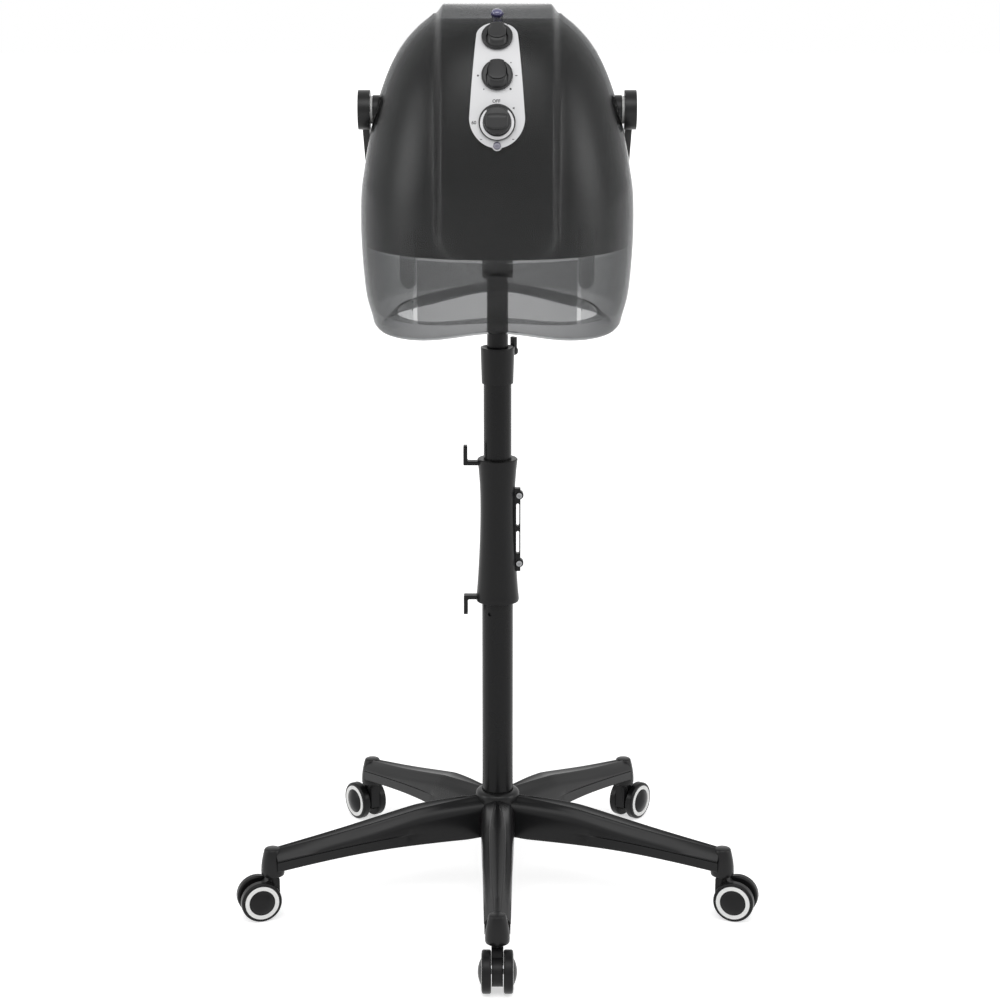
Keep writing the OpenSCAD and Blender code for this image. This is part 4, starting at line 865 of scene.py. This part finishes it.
# Name, height on the band, radius of the lens, how proud it stands, radius and material of its bezel
LAMPS = [
    ("upper_lamp", UPPER_LAMP_H, 6, 1.5, 6.9, "bezel"),
    ("lower_lamp", LOWER_LAMP_H, 4.15, 1.9, 5.3, "plate"),
]
LAMP_FOOT = -9
LAMP_DOME = 0.62
LENS_SHARE, HOLE_SHARE = 0.97, 0.98


def make_lamps():
    for name, height, radius, proud, ring, bezel in LAMPS:
        matrix = on_band(height)
        lens_r, dome_h = radius * LENS_SHARE, radius * LAMP_DOME
        turns = [math.radians(a) for a in range(90, 9, -10)]
        dome = [(lens_r * math.sin(a), proud + dome_h * math.cos(a)) for a in turns]
        lens = [(0, LAMP_FOOT), (lens_r, LAMP_FOOT), *dome, (0, proud + dome_h)]
        points, faces = lathe(lens, 64)
        add_piece(f"{name}_lens", placed(points, matrix), faces, name, "hood",
                  replaces=["indicator_lamps"])
        hole_r = radius * HOLE_SHARE
        rim = [(hole_r, -1), (ring, -0.6), (ring, proud - 0.5), (ring - 0.5, proud), (radius + 0.3, proud),
               (hole_r, proud - 0.4), (hole_r, -1)]
        points, faces = lathe(rim, 64)
        add_piece(f"{name}_bezel", placed(points, matrix), faces, bezel, "hood")


# ---------------------------------------------------------------- star base
LEG_REACH = 290
HUB_R, HUB_TOP, HUB_FLOOR = 28, 132, 77
SOCKET_TOP, SOCKET_LEN = 88, 35
LEG_START, LEG_END = HUB_R * 0.6, LEG_REACH - 3
LEG_ROOT_W, LEG_TIP_W = 42, 31
LEG_ROOT_Z = 126
LEG_ROOT_UNDER, LEG_TIP_UNDER = 78, 61
LEG_WALL = 4
LEG_ROOF, LEG_SKIN = 6, 3.5
LEG_SHOULDER = 14
CREST_NARROW, CREST_WIDE = 2, 8
CREST_START, CREST_WIDEST = 30, 115
CREST_FALL = 190
# How far the top dips and the underside rises along the leg, and the reach of both
LEG_WAIST, WAIST_SPAN = 4.5, (105, 290)
LEG_ARCH, ARCH_SPAN = 5.5, (45, 285)
LEG_GROOVE = 1.5
RIBS, RIB_T, RIB_INSET = 4, 2.4, 2.5
TUBE_HOLE_R, STEM_HOLE_R = 19.15, 5.6


def leg_share(r):
    return (r - LEG_START) / (LEG_END - LEG_START)


def hump(r, low, high):
    """A smooth rise from 0 at low to 1 halfway and back to 0 at high."""
    return math.sin(math.pi * min(1, max(0, (r - low) / (high - low))))


def leg_top(r):
    slope = (LEG_ROOT_Z - SOCKET_TOP + 1) * leg_share(r) ** 1.7
    return LEG_ROOT_Z - slope - LEG_WAIST * hump(r, *WAIST_SPAN)


def leg_under(r):
    slope = (LEG_TIP_UNDER - LEG_ROOT_UNDER) * leg_share(r)
    return LEG_ROOT_UNDER + slope + LEG_ARCH * hump(r, *ARCH_SPAN)


def leg_crest(r):
    """Half-width of the shallow lens-shaped groove along the leg's crest."""
    rise = math.sin(math.pi / 2 * min(1, max(0, (r - CREST_START) / (CREST_WIDEST - CREST_START))))
    fall = math.cos(math.pi / 2 * min(1, max(0, (r - CREST_WIDEST) / CREST_FALL)))
    return CREST_NARROW + (CREST_WIDE - CREST_NARROW) * rise * fall


def leg_section(r):
    """Half of a leg's cross-section as (half-width, height), from the foot to the middle of the crest."""
    t = leg_share(r)
    w = (LEG_ROOT_W + (LEG_TIP_W - LEG_ROOT_W) * t) / 2
    top, under = leg_top(r), leg_under(r)
    shoulder = top - LEG_SHOULDER
    # The shoulder is soft near the hub and crisp further out, where the side groove begins
    pull = 1.2 * (1 - float(smoothstep((t - 0.25) / 0.35)))
    depth = LEG_GROOVE * float(smoothstep((t - 0.3) / 0.25))
    groove = under + (top - under) * (0.28 + 0.2 * t)
    foot = w - depth * 0.4
    last = w * 0.66
    crest = min(leg_crest(r), w * 0.55)
    outer = [(foot - 0.6, under), (foot, under + 0.8), (foot, groove - 0.5), (w - depth, groove),
             (w, groove + 0.9)]
    outer += [(w - pull * 0.4, max(groove + 1.6, shoulder - 3)), (w - pull, max(groove + 2.4, shoulder)),
              (w * 0.95 - pull, max(groove + 3.2, shoulder + 2.6)), (w * 0.82, top - 8.2), (last, top - 5)]
    outer += [(last + (crest + 1.6 - last) * k, top - 5 + 4.4 * k) for k in (0.5, 1)]
    outer += [(crest + 0.9, top - 0.1), (crest + 0.2, top), (crest - 0.5, top - 0.3),
              (crest * 0.6, top - 1.3), (0, top - 1.7)]
    return outer, w, top, under


def leg_row(r, inner):
    """A leg's cross-section at r, either its outside or the ceiling and walls of the hollow under it."""
    half, w, top, under = leg_section(r)
    if inner:
        wall = w - LEG_WALL
        half = [(max(0, min(x, wall)), max(under, min(z - LEG_SKIN, top - LEG_ROOF - (x / w) ** 2 * 9)))
                for x, z in half]
        half[0] = (wall, under)
    return [(r, -x, z) for x, z in half] + [(r, x, z) for x, z in reversed(half[:-1])]


def leg_rib(r):
    """A cross rib in the hollow under a leg."""
    _, w, top, under = leg_section(r)
    x, y = RIB_T / 2, w - RIB_INSET
    box = [(r - x, -y), (r + x, -y), (r + x, y), (r - x, y)]
    return loft([(box, under + 2), (box, top - LEG_SHOULDER)])


def turned(points, angle):
    """Points in millimetres turned about Z by an angle in degrees, in metres."""
    c, s = math.cos(math.radians(angle)), math.sin(math.radians(angle))
    return [((x * c - y * s) * MM, (x * s + y * c) * MM, z * MM) for x, y, z in points]


def leg_angle(leg):
    return -90 + (leg - 1) * 360 / LEGS


def make_base():
    radii = np.linspace(LEG_START, LEG_END, 48)
    outer, inner = ([leg_row(r, inner) for r in radii] for inner in (False, True))
    leg_points = [point for row in outer + inner for point in row]
    leg_faces = wall_faces(len(radii), len(outer[0]), False)
    low = SOCKET_TOP - SOCKET_LEN
    socket_points, socket_faces = lathe([
        (0, SOCKET_TOP - 3), (STEM_HOLE_R, SOCKET_TOP - 3), (STEM_HOLE_R, low), (12.6, low),
        (13.7, low + 0.7), (14.2, low + 2), (14.4, low + 6), (14.1, low + 12), (13.2, low + 19),
        (11.8, SOCKET_TOP - 9), (10.7, SOCKET_TOP - 4.6), (10.1, SOCKET_TOP - 2.2),
        (9.3, SOCKET_TOP - 0.8), (8, SOCKET_TOP - 0.1), (0, SOCKET_TOP + 0.3),
    ], 64)
    socket_points = [(x + LEG_REACH, y, z) for x, y, z in socket_points]
    rib_points, rib_faces = joined([leg_rib(LEG_START + (LEG_END - LEG_START) * i / (RIBS + 1))
                                    for i in range(1, RIBS + 1)])
    for leg in range(1, LEGS + 1):
        angle = leg_angle(leg)
        add_piece(f"base_leg_{leg}", turned(leg_points, angle), leg_faces, "base", "stand",
                  smooth=28, replaces=["star_base"])
        add_piece(f"base_socket_{leg}", turned(socket_points, angle), socket_faces, "base", "stand",
                  smooth=35)
        add_piece(f"base_ribs_{leg}", turned(rib_points, angle), rib_faces, "base", "stand")
    hub_points, hub_faces = lathe([
        (0, HUB_FLOOR + 3), (TUBE_HOLE_R, HUB_FLOOR + 3), (TUBE_HOLE_R, HUB_TOP - 1),
        (TUBE_HOLE_R + 0.6, HUB_TOP), (HUB_R - 6, HUB_TOP), (HUB_R - 3.4, HUB_TOP - 0.9),
        (HUB_R - 1.6, HUB_TOP - 2.6), (HUB_R - 0.4, HUB_TOP - 5), (HUB_R, HUB_TOP - 9),
        (HUB_R, HUB_FLOOR + 1), (HUB_R - 1, HUB_FLOOR), (0, HUB_FLOOR),
    ], 128)
    add_piece("base_hub", turned(hub_points, 0), hub_faces, "base", "stand", smooth=35)


# ---------------------------------------------------------------- stage
FLOOR_SIZE = 30
FLOOR_AT = (0, 6, -0.0005)
FLOOR_WHITE = 0.9
# The floor's own glow near the object, and the distances over which it rises to white
FLOOR_GLOW = 0.57
FLOOR_NEAR_FAR = (0.8, 3.5)
WORLD_FILL = 0.45
# Name, place, target, size and radiance
SOFT_BOXES = [
    ("over_front", (0, -2.1, 3.1), (0, -0.2, 1.0), (7, 3), 3.4),
    ("left", (-2.8, -0.7, 1.4), (0, -0.1, 0.8), (2.4, 2.8), 4),
    ("right", (2.8, -0.7, 1.4), (0, -0.1, 0.8), (2.4, 2.8), 4),
]


def seen_rays(nodes, links, others, seen):
    """A strength for camera, glossy and transmission rays, and one for all others."""
    path = nodes.new("ShaderNodeLightPath").outputs
    either = combined(nodes, links, "MAXIMUM", path["Is Camera Ray"], path["Is Glossy Ray"])
    any_seen = combined(nodes, links, "MAXIMUM", either, path["Is Transmission Ray"])
    return mapped(nodes, links, any_seen, (0, 1), (others, seen))


def make_stage():
    bpy.context.scene.view_settings.view_transform = "Standard"
    bpy.ops.mesh.primitive_plane_add(size=1)
    floor = bpy.context.object
    floor.name = "floor"
    floor.scale = (FLOOR_SIZE, FLOOR_SIZE, 1)
    floor.location = FLOOR_AT
    material, nodes, links = new_material("floor_white")
    shader = nodes["Principled BSDF"]
    preset(shader, {"Base Color": (FLOOR_WHITE, FLOOR_WHITE, FLOOR_WHITE, 1), "Roughness": 0.9,
                    "Specular IOR Level": 0, "Emission Color": (1, 1, 1, 1)})
    place = nodes.new("ShaderNodeNewGeometry")
    distance = nodes.new("ShaderNodeVectorMath")
    distance.operation = "LENGTH"
    links.new(place.outputs["Position"], distance.inputs[0])
    glow = mapped(nodes, links, distance.outputs["Value"], FLOOR_NEAR_FAR, (FLOOR_GLOW, 1), smooth=True)
    strength = combined(nodes, links, "MULTIPLY", seen_rays(nodes, links, 0, 1), glow)
    links.new(strength, shader.inputs["Emission Strength"])
    floor.data.materials.append(material)

    world = bpy.data.worlds.new("world")
    world.use_nodes = True
    bpy.context.scene.world = world
    nodes, links = world.node_tree.nodes, world.node_tree.links
    preset(nodes["Background"], {"Color": (1, 1, 1, 1)})
    links.new(seen_rays(nodes, links, WORLD_FILL, 1), nodes["Background"].inputs["Strength"])


def soft_box(name, at, target, size, radiance):
    """A lamp that fades towards its edges."""
    data = bpy.data.lights.new(name, "AREA")
    data.shape = "RECTANGLE"
    data.size, data.size_y = size
    data.energy = math.pi * size[0] * size[1] * radiance
    data.use_nodes = True
    nodes, links = data.node_tree.nodes, data.node_tree.links
    place = nodes.new("ShaderNodeNewGeometry")
    split = nodes.new("ShaderNodeSeparateXYZ")
    links.new(place.outputs["Parametric"], split.inputs["Vector"])
    fades = []
    for axis in "XY":
        ramp = nodes.new("ShaderNodeMath")
        ramp.operation = "PINGPONG"
        ramp.inputs[1].default_value = 0.5
        links.new(split.outputs[axis], ramp.inputs[0])
        fades.append(mapped(nodes, links, ramp.outputs[0], (0, 0.5), (0, 1), smooth=True))
    links.new(combined(nodes, links, "MULTIPLY", *fades), nodes["Emission"].inputs["Strength"])
    light = bpy.data.objects.new(name, data)
    light.visible_camera = False
    light.visible_transmission = False
    light.location = at
    light.rotation_euler = (Vector(target) - Vector(at)).to_track_quat("-Z", "Y").to_euler()
    bpy.context.scene.collection.objects.link(light)


make_camera()
dress_nodes()
soften_nodes()
make_shell()
make_liner()
make_skirt()
make_shield()
make_plate()
make_bar_knob("temperature", TEMPERATURE_H, "temperature_knob", "temperature_dial")
make_bar_knob("speed", SPEED_H, "speed_knob", "speed_dial")
make_timer_knob()
make_lamps()
make_marks()
make_base()
make_stage()
for values in SOFT_BOXES:
    soft_box(*values)
